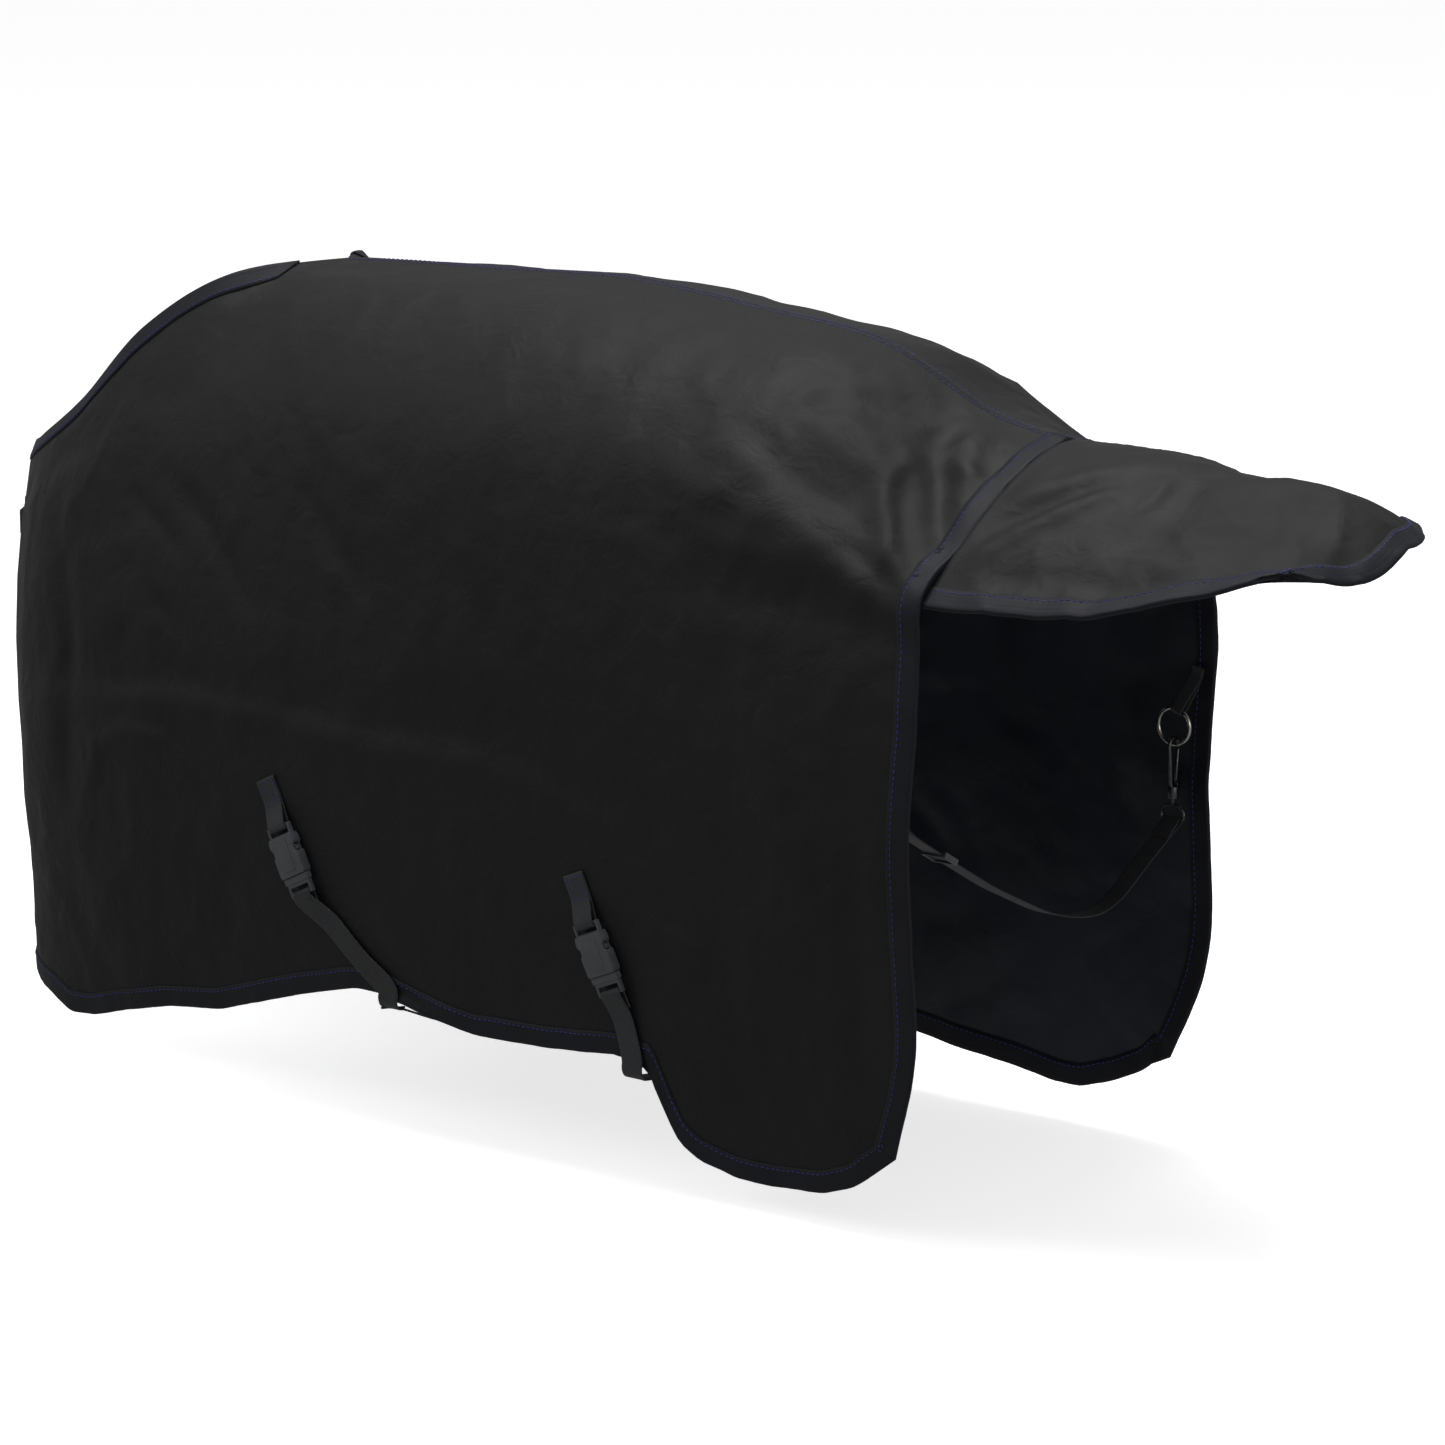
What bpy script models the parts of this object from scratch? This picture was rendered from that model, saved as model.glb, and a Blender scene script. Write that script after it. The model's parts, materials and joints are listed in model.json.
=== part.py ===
"""Turnout rug: shaped two-sided cover with tail flap, two belly straps, two chest straps and a
tail strap clipped to a ring. Metres, +Z up, the rear opening faces +X, the wearer's left is -Y.

Shapes are laid out in a layout frame (x = 0 at the rear edge, z = 0 at the rear lobe of the hem)
and moved so that the row origin lies on the lining at the middle of the back.
"""

import math

import bmesh
import bpy
from mathutils import Matrix, Vector
from mathutils.bvhtree import BVHTree

# Driving dimensions, metres
GAP = 0.0003
OUTER_T = 0.0012
LINING_T = 0.0020
BIND_W = 0.024
BIND_T = 0.0012
WEB_W = 0.030
WEB_T = 0.0016
TAIL_WEB_W = 0.025
BUCKLE_OFF = 0.0105
RING_R = 0.0215
RING_WIRE = 0.0025
SPINE_GAP = 0.00015
EDGE_GAP = 0.0009
FLAP_ROOT = 0.0042
ORIGIN = Vector((-0.62, 0.0, 0.95465))

# Each station runs from the top edge down one side: (x, distance from the middle plane, z)
STATIONS = [
    [(0, 0, 0.836), (0, 0.09, 0.806), (0, 0.185, 0.749), (0, 0.262, 0.695), (0.008, 0.284, 0.57),
     (0, 0.287, 0.42), (0.006, 0.279, 0.20), (-0.035, 0.262, 0.068)],
    [(-0.10, 0, 0.855), (-0.10, 0.10, 0.828), (-0.10, 0.195, 0.780), (-0.10, 0.262, 0.728),
     (-0.10, 0.290, 0.60), (-0.10, 0.295, 0.43), (-0.10, 0.280, 0.20), (-0.118, 0.257, 0.0)],
    [(-0.25, 0, 0.919), (-0.25, 0.11, 0.897), (-0.25, 0.205, 0.845), (-0.25, 0.268, 0.77),
     (-0.25, 0.294, 0.61), (-0.25, 0.298, 0.43), (-0.25, 0.283, 0.20), (-0.25, 0.258, 0.0)],
    [(-0.42, 0, 0.940), (-0.42, 0.115, 0.918), (-0.42, 0.21, 0.862), (-0.42, 0.270, 0.78),
     (-0.42, 0.295, 0.62), (-0.42, 0.300, 0.43), (-0.42, 0.285, 0.20), (-0.42, 0.258, 0.0)],
    [(-0.62, 0, 0.957), (-0.62, 0.115, 0.935), (-0.62, 0.21, 0.876), (-0.62, 0.268, 0.79),
     (-0.62, 0.293, 0.62), (-0.62, 0.298, 0.43), (-0.62, 0.284, 0.20), (-0.62, 0.256, 0.0)],
    [(-0.82, 0, 0.951), (-0.82, 0.11, 0.930), (-0.82, 0.20, 0.872), (-0.82, 0.258, 0.785),
     (-0.82, 0.286, 0.62), (-0.82, 0.294, 0.43), (-0.82, 0.282, 0.20), (-0.82, 0.255, 0.0)],
    [(-0.97, 0, 0.946), (-0.97, 0.10, 0.925), (-0.97, 0.185, 0.865), (-0.97, 0.245, 0.775),
     (-0.97, 0.278, 0.61), (-0.97, 0.288, 0.43), (-0.97, 0.278, 0.20), (-0.97, 0.253, 0.0)],
    [(-1.06, 0, 0.941), (-1.06, 0.095, 0.918), (-1.065, 0.175, 0.858), (-1.07, 0.236, 0.765),
     (-1.075, 0.272, 0.605), (-1.08, 0.283, 0.43), (-1.08, 0.274, 0.20), (-1.08, 0.250, 0.0)],
    [(-1.145, 0.115, 0.925), (-1.15, 0.165, 0.872), (-1.16, 0.207, 0.803), (-1.17, 0.240, 0.72),
     (-1.18, 0.266, 0.58), (-1.18, 0.276, 0.42), (-1.18, 0.268, 0.20), (-1.18, 0.245, 0.0)],
    [(-1.240, 0.165, 0.860), (-1.243, 0.195, 0.806), (-1.25, 0.22, 0.745), (-1.26, 0.240, 0.68),
     (-1.27, 0.257, 0.56), (-1.275, 0.265, 0.41), (-1.27, 0.256, 0.20), (-1.27, 0.235, 0.0)],
    [(-1.335, 0.176, 0.765), (-1.342, 0.192, 0.735), (-1.35, 0.206, 0.69), (-1.36, 0.220, 0.64),
     (-1.37, 0.232, 0.54), (-1.375, 0.236, 0.40), (-1.37, 0.228, 0.20), (-1.367, 0.221, 0.0)],
    [(-1.435, 0.145, 0.706), (-1.44, 0.156, 0.685), (-1.445, 0.165, 0.655), (-1.45, 0.173, 0.61),
     (-1.455, 0.180, 0.53), (-1.457, 0.182, 0.40), (-1.445, 0.178, 0.20), (-1.443, 0.174, 0.0)],
    [(-1.515, 0.08, 0.680), (-1.518, 0.084, 0.665), (-1.52, 0.087, 0.64), (-1.523, 0.090, 0.60),
     (-1.524, 0.093, 0.52), (-1.52, 0.094, 0.39), (-1.505, 0.092, 0.20), (-1.500, 0.090, 0.0)],
    [(-1.55, 0.010, 0.675), (-1.552, 0.010, 0.66), (-1.553, 0.010, 0.635), (-1.554, 0.010, 0.595),
     (-1.553, 0.010, 0.52), (-1.548, 0.010, 0.385), (-1.53, 0.010, 0.20), (-1.525, 0.010, 0.0)],
]
WITHERS = 7  # the top edge is the back seam up to this station, and the neckline after it

# Height of the hem against x, for the left side and the right side
HEM_LEFT = [(0.0, 0.068), (-0.035, 0.068), (-0.062, 0.046), (-0.091, 0.026), (-0.131, 0.012),
            (-0.20, 0.006), (-0.254, 0.007), (-0.301, 0.018), (-0.330, 0.036), (-0.346, 0.066),
            (-0.356, 0.096), (-0.374, 0.117), (-0.411, 0.126), (-0.521, 0.115), (-0.628, 0.112),
            (-0.698, 0.124), (-0.763, 0.137), (-0.815, 0.137), (-0.912, 0.111), (-0.995, 0.085),
            (-1.05, 0.067), (-1.143, 0.055), (-1.218, 0.037), (-1.278, 0.019), (-1.323, 0.014),
            (-1.37, 0.028), (-1.43, 0.034), (-1.51, 0.034)]
HEM_RIGHT = [(0.0, 0.075), (-0.045, 0.072), (-0.071, 0.050), (-0.109, 0.032), (-0.156, 0.017),
             (-0.194, 0.017), (-0.252, 0.026), (-0.341, 0.034), (-0.425, 0.045), (-0.50, 0.078),
             (-0.60, 0.108), (-0.698, 0.124), (-0.763, 0.132), (-0.815, 0.132), (-0.912, 0.111),
             (-0.995, 0.085), (-1.05, 0.067), (-1.143, 0.055), (-1.218, 0.037), (-1.278, 0.019),
             (-1.323, 0.014), (-1.37, 0.028), (-1.43, 0.034), (-1.51, 0.034)]

# Stations of the panel's columns between the two bound ends
COLUMNS = [0.55, 1.0, 1.5, 1.83, 2.1, 2.42, 2.64, 2.95, 3.5, 4.0, 4.6, 5.2, 6.1, 7.0, 7.55,
           8.0, 8.6, 9.2, 9.8, 10.4, 11.0, 11.6, 12.2]
ROWS = 9


def catmull(a, b, c, d, t):
    """Point of the curve through b and c at t."""
    return 0.5 * (2 * b + (c - a) * t + (2 * a - 5 * b + 4 * c - d) * t * t
                  + (3 * b - a - 3 * c + d) * t ** 3)


def along(points, t):
    """Point at float index t of a smooth curve through the points."""
    i = min(int(t), len(points) - 2)
    a = points[max(i - 1, 0)]
    d = points[min(i + 2, len(points) - 1)]
    return catmull(a, points[i], points[i + 1], d, t - i)


def lerp_table(table, x):
    """Value at x of a table of (x, value), x falling."""
    for (x0, v0), (x1, v1) in zip(table, table[1:]):
        if x >= x1:
            return v0 + (v1 - v0) * min(max((x - x0) / (x1 - x0), 0.0), 1.0)
    return table[-1][1]


def section(t, side):
    """The section of one side at station t, as close points from the top edge down."""
    vectors = [[Vector(p) for p in row] for row in STATIONS]
    controls = [along([row[k] for row in vectors], t) for k in range(len(vectors[0]))]
    points = [along(controls, k / 10) for k in range(10 * (len(controls) - 1) + 1)]
    for p in points:
        p.y = side * max(p.y, SPINE_GAP)
    return points


def cut_at_hem(points, hem):
    """The section down to the hem, with the distance along it."""
    kept = [points[0]]
    for a, b in zip(points, points[1:]):
        if b.z < lerp_table(hem, b.x) and b.z < 0.3:
            fa = a.z - lerp_table(hem, a.x)
            fb = b.z - lerp_table(hem, b.x)
            kept.append(a.lerp(b, fa / (fa - fb)))
            break
        kept.append(b)
    far = [0.0]
    for a, b in zip(kept, kept[1:]):
        far.append(far[-1] + (b - a).length)
    return kept, far


def point_at(points, far, s):
    for k in range(1, len(points)):
        if far[k] >= s:
            span = far[k] - far[k - 1]
            return points[k - 1].lerp(points[k], (s - far[k - 1]) / span if span else 0.0)
    return points[-1].copy()


def column(t, side, hem):
    """One column of the panel's grid, with one binding width at the top and the bottom."""
    points, far = cut_at_hem(section(t, side), hem)
    total = far[-1]
    inner = [BIND_W + (total - 2 * BIND_W) * k / (ROWS - 1) for k in range(ROWS)]
    return [point_at(points, far, s) for s in [0.0] + inner + [total]]


def panel_grid(side):
    """Grid of the middle surface: columns from the rear edge to the chest edge."""
    hem = HEM_LEFT if side < 0 else HEM_RIGHT
    first = column(0.0, side, hem)
    last = column(float(len(STATIONS) - 1), side, hem)
    near_first = column(0.3, side, hem)
    near_last = column(len(STATIONS) - 1.5, side, hem)
    second = [a + (b - a).normalized() * BIND_W for a, b in zip(first, near_first)]
    before = [a + (b - a).normalized() * BIND_W for a, b in zip(last, near_last)]
    grid = [first, second] + [column(t, side, hem) for t in COLUMNS] + [before, last]
    grid[1][-1] = grid[0][-1].lerp(grid[2][-1], 0.35)
    grid[1][-2] = grid[0][-2].lerp(grid[2][-2], 0.30)
    grid[1][0].y = side * SPINE_GAP
    return grid


def grid_normals(grid, side):
    """Outward normals at the grid's points."""
    rows = len(grid[0])
    normals = []
    for i in range(len(grid)):
        line = []
        for j in range(rows):
            du = grid[min(i + 1, len(grid) - 1)][j] - grid[max(i - 1, 0)][j]
            dv = grid[i][min(j + 1, rows - 1)] - grid[i][max(j - 1, 0)]
            n = du.cross(dv).normalized()
            if n.dot(Vector((grid[i][j].x + 0.75, grid[i][j].y * 3.0, grid[i][j].z - 0.45))) < 0:
                n.negate()
            if j == 0 and abs(grid[i][j].y) < 0.001:
                n = Vector((n.x, 0.0, n.z)).normalized()
            line.append(n)
        normals.append(line)
    return normals


def new_object(name, verts, faces):
    """A mesh object with coincident points merged, empty faces dropped and faces turned out."""
    index = {}
    remap = []
    points = []
    for v in verts:
        key = (round(v[0], 7), round(v[1], 7), round(v[2], 7))
        if key not in index:
            index[key] = len(points)
            points.append(Vector(key))
        remap.append(index[key])
    clean = []
    for face in faces:
        ring = []
        for v in face:
            if not ring or remap[v] != ring[-1]:
                ring.append(remap[v])
        if len(ring) > 1 and ring[0] == ring[-1]:
            ring.pop()
        if len(ring) >= 3:
            clean.append(ring)
    mesh = bpy.data.meshes.new(name)
    mesh.from_pydata(points, [], clean)
    bm = bmesh.new()
    bm.from_mesh(mesh)
    bmesh.ops.recalc_face_normals(bm, faces=bm.faces[:])
    bm.to_mesh(mesh)
    bm.free()
    obj = bpy.data.objects.new(name, mesh)
    bpy.context.scene.collection.objects.link(obj)
    return obj


def cell_triangles(i, j, flipped):
    """The two triangles of a grid cell, as (i, j) pairs."""
    a, b, c, d = (i, j), (i + 1, j), (i + 1, j + 1), (i, j + 1)
    if flipped:
        return [(a, b, d), (b, c, d)]
    return [(a, b, c), (a, c, d)]


def layer(name, grid, normals, low, high, flipped_cells):
    """One cloth layer: the grid's surface between two offsets along its normals."""
    cols = len(grid)
    rows = len(grid[0])
    verts = []
    for off in (low, high):
        for i in range(cols):
            for j in range(rows):
                verts.append(grid[i][j] + normals[i][j] * off)
    size = cols * rows
    faces = []
    for i in range(cols - 1):
        for j in range(rows - 1):
            for tri in cell_triangles(i, j, (i, j) in flipped_cells):
                ids = [a * rows + b for a, b in tri]
                faces.append(ids)
                faces.append([size + k for k in reversed(ids)])
    rim = [(i, 0) for i in range(cols)] + [(cols - 1, j) for j in range(1, rows)]
    rim += [(i, rows - 1) for i in range(cols - 2, -1, -1)] + [(0, j) for j in range(rows - 2, 0, -1)]
    for (a, b), (c, d) in zip(rim, rim[1:] + rim[:1]):
        p = a * rows + b
        q = c * rows + d
        faces.append([p, q, size + q, size + p])
    return new_object(name, verts, faces)


RANKS = [0, 1, 2, 2, 1, 0, 0, 1, 1, 0]


def binding(name, grid, normals, pairs, flags, side=0, lift=0.0):
    """A U-section binding folded over an edge. pairs holds (edge cell, inner cell) indices."""
    a = OUTER_T + 0.00015 + 0.0005 + lift
    c = LINING_T + 0.00015 + 2 * GAP + lift
    rings = []
    for k, (edge, inner) in enumerate(pairs):
        b_point = grid[edge[0]][edge[1]]
        p_point = grid[inner[0]][inner[1]]
        b_n = normals[edge[0]][edge[1]]
        p_n = normals[inner[0]][inner[1]]
        before = grid[pairs[max(k - 1, 0)][0][0]][pairs[max(k - 1, 0)][0][1]]
        after_id = pairs[min(k + 1, len(pairs) - 1)][0]
        run = (grid[after_id[0]][after_id[1]] - before).normalized()
        out = run.cross(b_n).normalized()
        if out.dot(b_point - p_point) < 0:
            out.negate()
        gap = b_point + out * EDGE_GAP
        end = b_point + out * (EDGE_GAP + BIND_T)
        rings.append([
            p_point + p_n * (a + BIND_T), b_point + b_n * (a + BIND_T), end + b_n * (a + BIND_T),
            end - b_n * (c + BIND_T), b_point - b_n * (c + BIND_T), p_point - p_n * (c + BIND_T),
            p_point - p_n * c, gap - b_n * c, gap + b_n * a, p_point + p_n * a,
        ])
    verts = [p for ring in rings for p in ring]
    for p in verts:
        if side and p.y * side < SPINE_GAP:
            p.y = side * SPINE_GAP
    n = len(RANKS)
    faces = []
    for k, flag in zip(range(len(rings) - 1), flags):
        for m in range(n):
            q = (m + 1) % n
            v0, v1, v2, v3 = k * n + m, k * n + q, (k + 1) * n + q, (k + 1) * n + m
            rising = RANKS[q] > RANKS[m]
            if RANKS[q] == RANKS[m] or rising == flag:
                faces += [[v0, v1, v2], [v0, v2, v3]]
            else:
                faces += [[v0, v1, v3], [v1, v2, v3]]
    faces.append(list(range(n)))
    faces.append([len(verts) - 1 - m for m in range(n)])
    return new_object(name, verts, faces)


def side_cloth(side, word):
    """Outer panel, lining and the three bindings of one side. Returns its search tree."""
    grid = panel_grid(side)
    normals = grid_normals(grid, side)
    m = len(grid) - 1
    n = len(grid[0]) - 1
    flipped = {(0, n - 1), (m - 1, 0)}
    layer(word + "_outer_panel", grid, normals, 0.00015, 0.00015 + OUTER_T, flipped)
    layer(word + "_lining", grid, normals, -0.00015 - LINING_T, -0.00015, flipped)
    rear = [((0, j), (1, min(j, n - 1))) for j in range(0, n + 1)] + [((1, n), (1, n - 1))]
    hem = [((i, n), (i, n - 1)) for i in range(1, m)]
    front = [((m - 1, n), (m - 1, n - 1))]
    front += [((m, j), (m - 1, min(max(j, 1), n - 1))) for j in range(n, -1, -1)]
    withers = 2 + COLUMNS.index(float(WITHERS))
    front += [((i, 0), (i, 1)) for i in range(m - 1, withers - 1, -1)]
    binding(word + "_rear_binding", grid, normals, rear, [False] * n + [True], side)
    hem_grid = [[p.copy() for p in col] for col in grid]
    for j in (n - 1, n):
        hem_grid[1][j] = grid[1][j].lerp(grid[2][j], 0.09)
        hem_grid[m - 1][j] = grid[m - 1][j].lerp(grid[m - 2][j], 0.04)
    binding(word + "_hem_binding", hem_grid, normals, hem, [True] * (len(hem) - 1), side)
    flags = [True] + [False] * n + [True] * (len(front) - n - 2)
    front_grid = [[p.copy() for p in col] for col in grid]
    for j in (0, 1):
        front_grid[withers][j] = grid[withers][j].lerp(grid[withers + 1][j], 0.12)
    binding(word + "_front_binding", front_grid, normals, front, flags, side,
            lift=0.0004)
    rows = n + 1
    verts = [p for col in grid for p in col]
    tris = []
    for i in range(m):
        for j in range(n):
            for tri in cell_triangles(i, j, (i, j) in flipped):
                tris.append([a * rows + b for a, b in tri])
    return BVHTree.FromPolygons(verts, tris), grid, normals


def on_wall(tree, side, x, z, off):
    """Point on a side at (x, z), moved off along the outward normal, and the normal."""
    place, normal, _, _ = tree.ray_cast(Vector((x, side * 1.0, z)), Vector((0, -side, 0)))
    if normal.y * side < 0:
        normal = -normal
    return place + normal * off, normal


def on_chest(tree, y, z, off):
    """Point on the chest at (y, z), moved off along the outward normal, and the normal."""
    place, normal, _, _ = tree.ray_cast(Vector((-3.0, y, z)), Vector((1, 0, 0)))
    if normal.x > 0:
        normal = -normal
    return place + normal * off, normal


def hem_crossing(side, x, inward):
    """Points that carry a strap round the hem at x, from the outside to the inside."""
    tree, grid, normals = side
    best = min(range(len(grid)), key=lambda i: abs(grid[i][-1].x - x))
    other = best + 1 if grid[best][-1].x > x else best - 1
    share = (x - grid[best][-1].x) / (grid[other][-1].x - grid[best][-1].x)
    spot = grid[best][-1].lerp(grid[other][-1], share)
    n = normals[best][-1]
    flat = Vector((0, n.y, 0)).normalized()
    down = Vector((0, 0, -1))
    steps = [(0.0085, -0.012, (1, 0)), (0.0085, 0.002, (1, 0.2)), (0.0055, 0.010, (0.7, 0.7)),
             (0.0, 0.0135, (0.1, 1)), (-0.012, 0.0155, (0, 1))]
    out = [(spot + flat * a + down * b, flat * c + down * d) for a, b, (c, d) in steps]
    return out if inward else out[::-1]


def ribbon(name, points, widths, width, thick):
    """A flat strap along the points. widths holds the direction of its width at each point."""
    rings = []
    count = len(points)
    for k in range(count):
        a = (points[k] - points[k - 1]).normalized() if k else None
        b = (points[k + 1] - points[k]).normalized() if k < count - 1 else None
        a = a or b
        b = b or a
        run = (a + b).normalized()
        w = (widths[k] - run * widths[k].dot(run)).normalized()
        n = run.cross(w).normalized()
        grow = 1.0 / max(math.sqrt((1 + a.dot(b)) / 2), 0.6)
        h = n * (thick / 2 * grow)
        s = w * (width / 2)
        rings.append([points[k] - s - h, points[k] + s - h, points[k] + s + h, points[k] - s + h])
    verts = [p for ring in rings for p in ring]
    faces = []
    for k in range(count - 1):
        for m in range(4):
            q = (m + 1) % 4
            faces.append([k * 4 + m, k * 4 + q, k * 4 + 4 + q, k * 4 + 4 + m])
    faces.append([0, 1, 2, 3])
    faces.append([len(verts) - 1 - m for m in range(4)])
    return new_object(name, verts, faces)


def prism(name, outline, low, high):
    """A closed prism: the outline in XY between two heights."""
    n = len(outline)
    verts = [Vector((x, y, low)) for x, y in outline] + [Vector((x, y, high)) for x, y in outline]
    faces = [[k, (k + 1) % n, n + (k + 1) % n, n + k] for k in range(n)]
    faces += [list(range(n - 1, -1, -1)), list(range(n, 2 * n))]
    return new_object(name, verts, faces)


def block(name, low, high):
    outline = [(low[0], low[1]), (high[0], low[1]), (high[0], high[1]), (low[0], high[1])]
    return prism(name, outline, low[2], high[2])


def tube(name, points, radius, sides, closed=False, side_hint=None):
    """A round wire along the points."""
    count = len(points)
    hint = side_hint or Vector((1, 0, 0))
    verts = []
    for k in range(count):
        if closed:
            run = (points[(k + 1) % count] - points[k - 1]).normalized()
        else:
            run = (points[min(k + 1, count - 1)] - points[max(k - 1, 0)]).normalized()
        u = (hint - run * hint.dot(run)).normalized()
        v = run.cross(u)
        for m in range(sides):
            a = 2 * math.pi * (m + 0.5) / sides
            verts.append(points[k] + (u * math.cos(a) + v * math.sin(a)) * radius)
    faces = []
    for k in range(count if closed else count - 1):
        nxt = (k + 1) % count
        for m in range(sides):
            q = (m + 1) % sides
            faces.append([k * sides + m, k * sides + q, nxt * sides + q, nxt * sides + m])
    if not closed:
        faces += [list(range(sides)), [len(verts) - 1 - m for m in range(sides)]]
    return new_object(name, verts, faces)


def combine(base, others, operation):
    """Joins or cuts with exact Booleans, then keeps the result as the base's own mesh."""
    for other in others:
        other.hide_render = True
        other.display_type = "WIRE"
        mod = base.modifiers.new(other.name, "BOOLEAN")
        mod.operation = operation
        mod.solver = "EXACT"
        mod.object = other
    bpy.context.view_layer.update()
    graph = bpy.context.evaluated_depsgraph_get()
    mesh = bpy.data.meshes.new_from_object(base.evaluated_get(graph))
    base.modifiers.clear()
    base.data = mesh
    for other in others:
        bpy.data.objects.remove(other)
    return base


def place_copy(source, name, matrix):
    """A copy of the source with its own mesh moved by the matrix."""
    mesh = source.data.copy()
    mesh.transform(matrix)
    obj = bpy.data.objects.new(name, mesh)
    bpy.context.scene.collection.objects.link(obj)
    return obj


# Buckle, in its own frame: +Y to the sewn tab, +Z away from the cloth, origin at the mouth
SOCKET_HALF = [(19.2, -15.5), (21.0, -12.5), (21.0, 8.5), (18.1, 12.0), (18.1, 18.0),
               (21.0, 22.0), (21.0, 27.0), (19.0, 33.0)]
SLOT_HALF = 0.0157
PRONG_HINGE = (0.0095, 0.0018)


def socket_master():
    half = [(x / 1000, y / 1000) for x, y in SOCKET_HALF]
    outline = half + [(-x, y) for x, y in reversed(half)]
    body = prism("socket_master", outline, -0.006, 0.006)
    frame = block("frame", (-0.019, 0.030, -0.0026), (0.019, 0.046, 0.0026))
    raised = block("raised", (-0.009, -0.009, 0.005), (0.009, 0.026, 0.0068))
    combine(body, [frame, raised], "UNION")
    cavity = block("cavity", (-0.017, -0.020, -0.0031), (0.017, 0.0285, 0.0031))
    windows = block("windows", (-0.030, 0.0105, -0.0033), (0.030, 0.0200, 0.0033))
    slot = block("slot", (-SLOT_HALF, 0.0345, -0.010), (SLOT_HALF, 0.0415, 0.010))
    return combine(body, [cavity, windows, slot], "DIFFERENCE")


def plug_master():
    base = block("plug_master", (-0.020, -0.024, -0.004), (0.020, -0.0162, 0.004))
    carrier = block("carrier", (-0.0162, -0.017, -0.0024), (0.0162, 0.001, 0.0024))
    frame = block("frame", (-0.019, -0.040, -0.0026), (0.019, -0.023, 0.0026))
    tongue = block("tongue", (-0.003, 0.0, -0.002), (0.003, 0.024, 0.002))
    stop = block("stop", (-0.0145, -0.002, -0.0024), (-0.0125, 0.0066, 0.0024))
    stop_b = block("stop_b", (0.0125, -0.002, -0.0024), (0.0145, 0.0066, 0.0024))
    combine(base, [frame, carrier, tongue, stop, stop_b], "UNION")
    slot = block("slot", (-SLOT_HALF, -0.036, -0.010), (SLOT_HALF, -0.0285, 0.010))
    return combine(base, [slot], "DIFFERENCE")


def prong_master(sign):
    half = [(7.6, 1.8), (11.4, 1.8), (11.4, 9.0), (13.0, 10.9), (18.6, 11.6), (19.4, 13.6),
            (18.6, 17.6), (15.6, 19.6), (12.5, 23.8), (9.6, 24.2), (7.6, 22.0)]
    outline = [(sign * x / 1000, y / 1000) for x, y in half]
    return prism("prong_master", outline, -0.0025, 0.0025)


def buckle_frame(origin, up, normal):
    """Matrix of a buckle's frame in the layout frame."""
    z = normal.normalized()
    y = (up - z * up.dot(z)).normalized()
    x = y.cross(z)
    return Matrix.Translation(origin) @ Matrix((x, y, z)).transposed().to_4x4()


def pivoted(obj, point):
    """Puts the object's own origin at the point, leaving its shape where it is."""
    obj.data.transform(Matrix.Translation(-point))
    obj.location = point
    return obj


def buckle(word, frame, masters):
    """Socket, plug and two prongs at a frame. Returns nothing; the prongs turn at their roots."""
    socket, plug, left, right = masters
    place_copy(socket, word + "_socket", frame)
    place_copy(plug, word + "_plug", frame)
    for sign, master, end in ((-1, left, "_prong_a"), (1, right, "_prong_b")):
        prong = place_copy(master, word + end, frame)
        pivoted(prong, frame @ Vector((sign * PRONG_HINGE[0], PRONG_HINGE[1], 0.0)))


LOOP_TOP = [(0.050, 0.0032), (0.0448, 0.0041), (0.0424, 0.0041), (0.0404, 0.0030), (0.0398, 0.0),
            (0.0404, -0.0030), (0.0424, -0.0041), (0.0448, -0.0041), (0.050, -0.0044)]
LOOP_LOW = [(-0.060, -0.0046), (-0.050, -0.0044), (-0.0394, -0.0041), (-0.0372, -0.0041),
            (-0.0350, -0.0030), (-0.0343, 0.0), (-0.0350, 0.0030), (-0.0372, 0.0041),
            (-0.0394, 0.0041), (-0.047, 0.0030)]


def sewn_tab(name, frame, wall, width):
    """Webbing doubled round the socket's bar, its two plies lying on the cloth above."""
    x_dir = frame.to_3x3() @ Vector((1, 0, 0))
    low_ply = OUTER_T + 0.0010 + WEB_T / 2
    points = [wall(0.104, low_ply + WEB_T + GAP), wall(0.088, low_ply + WEB_T + GAP),
              wall(0.073, low_ply + WEB_T + GAP + 0.0006)]
    points += [frame @ Vector((0.0, y, z)) for y, z in LOOP_TOP]
    points += [wall(0.073, low_ply), wall(0.088, low_ply), wall(0.104, low_ply)]
    return ribbon(name, points, [x_dir] * len(points), width, WEB_T)


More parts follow.
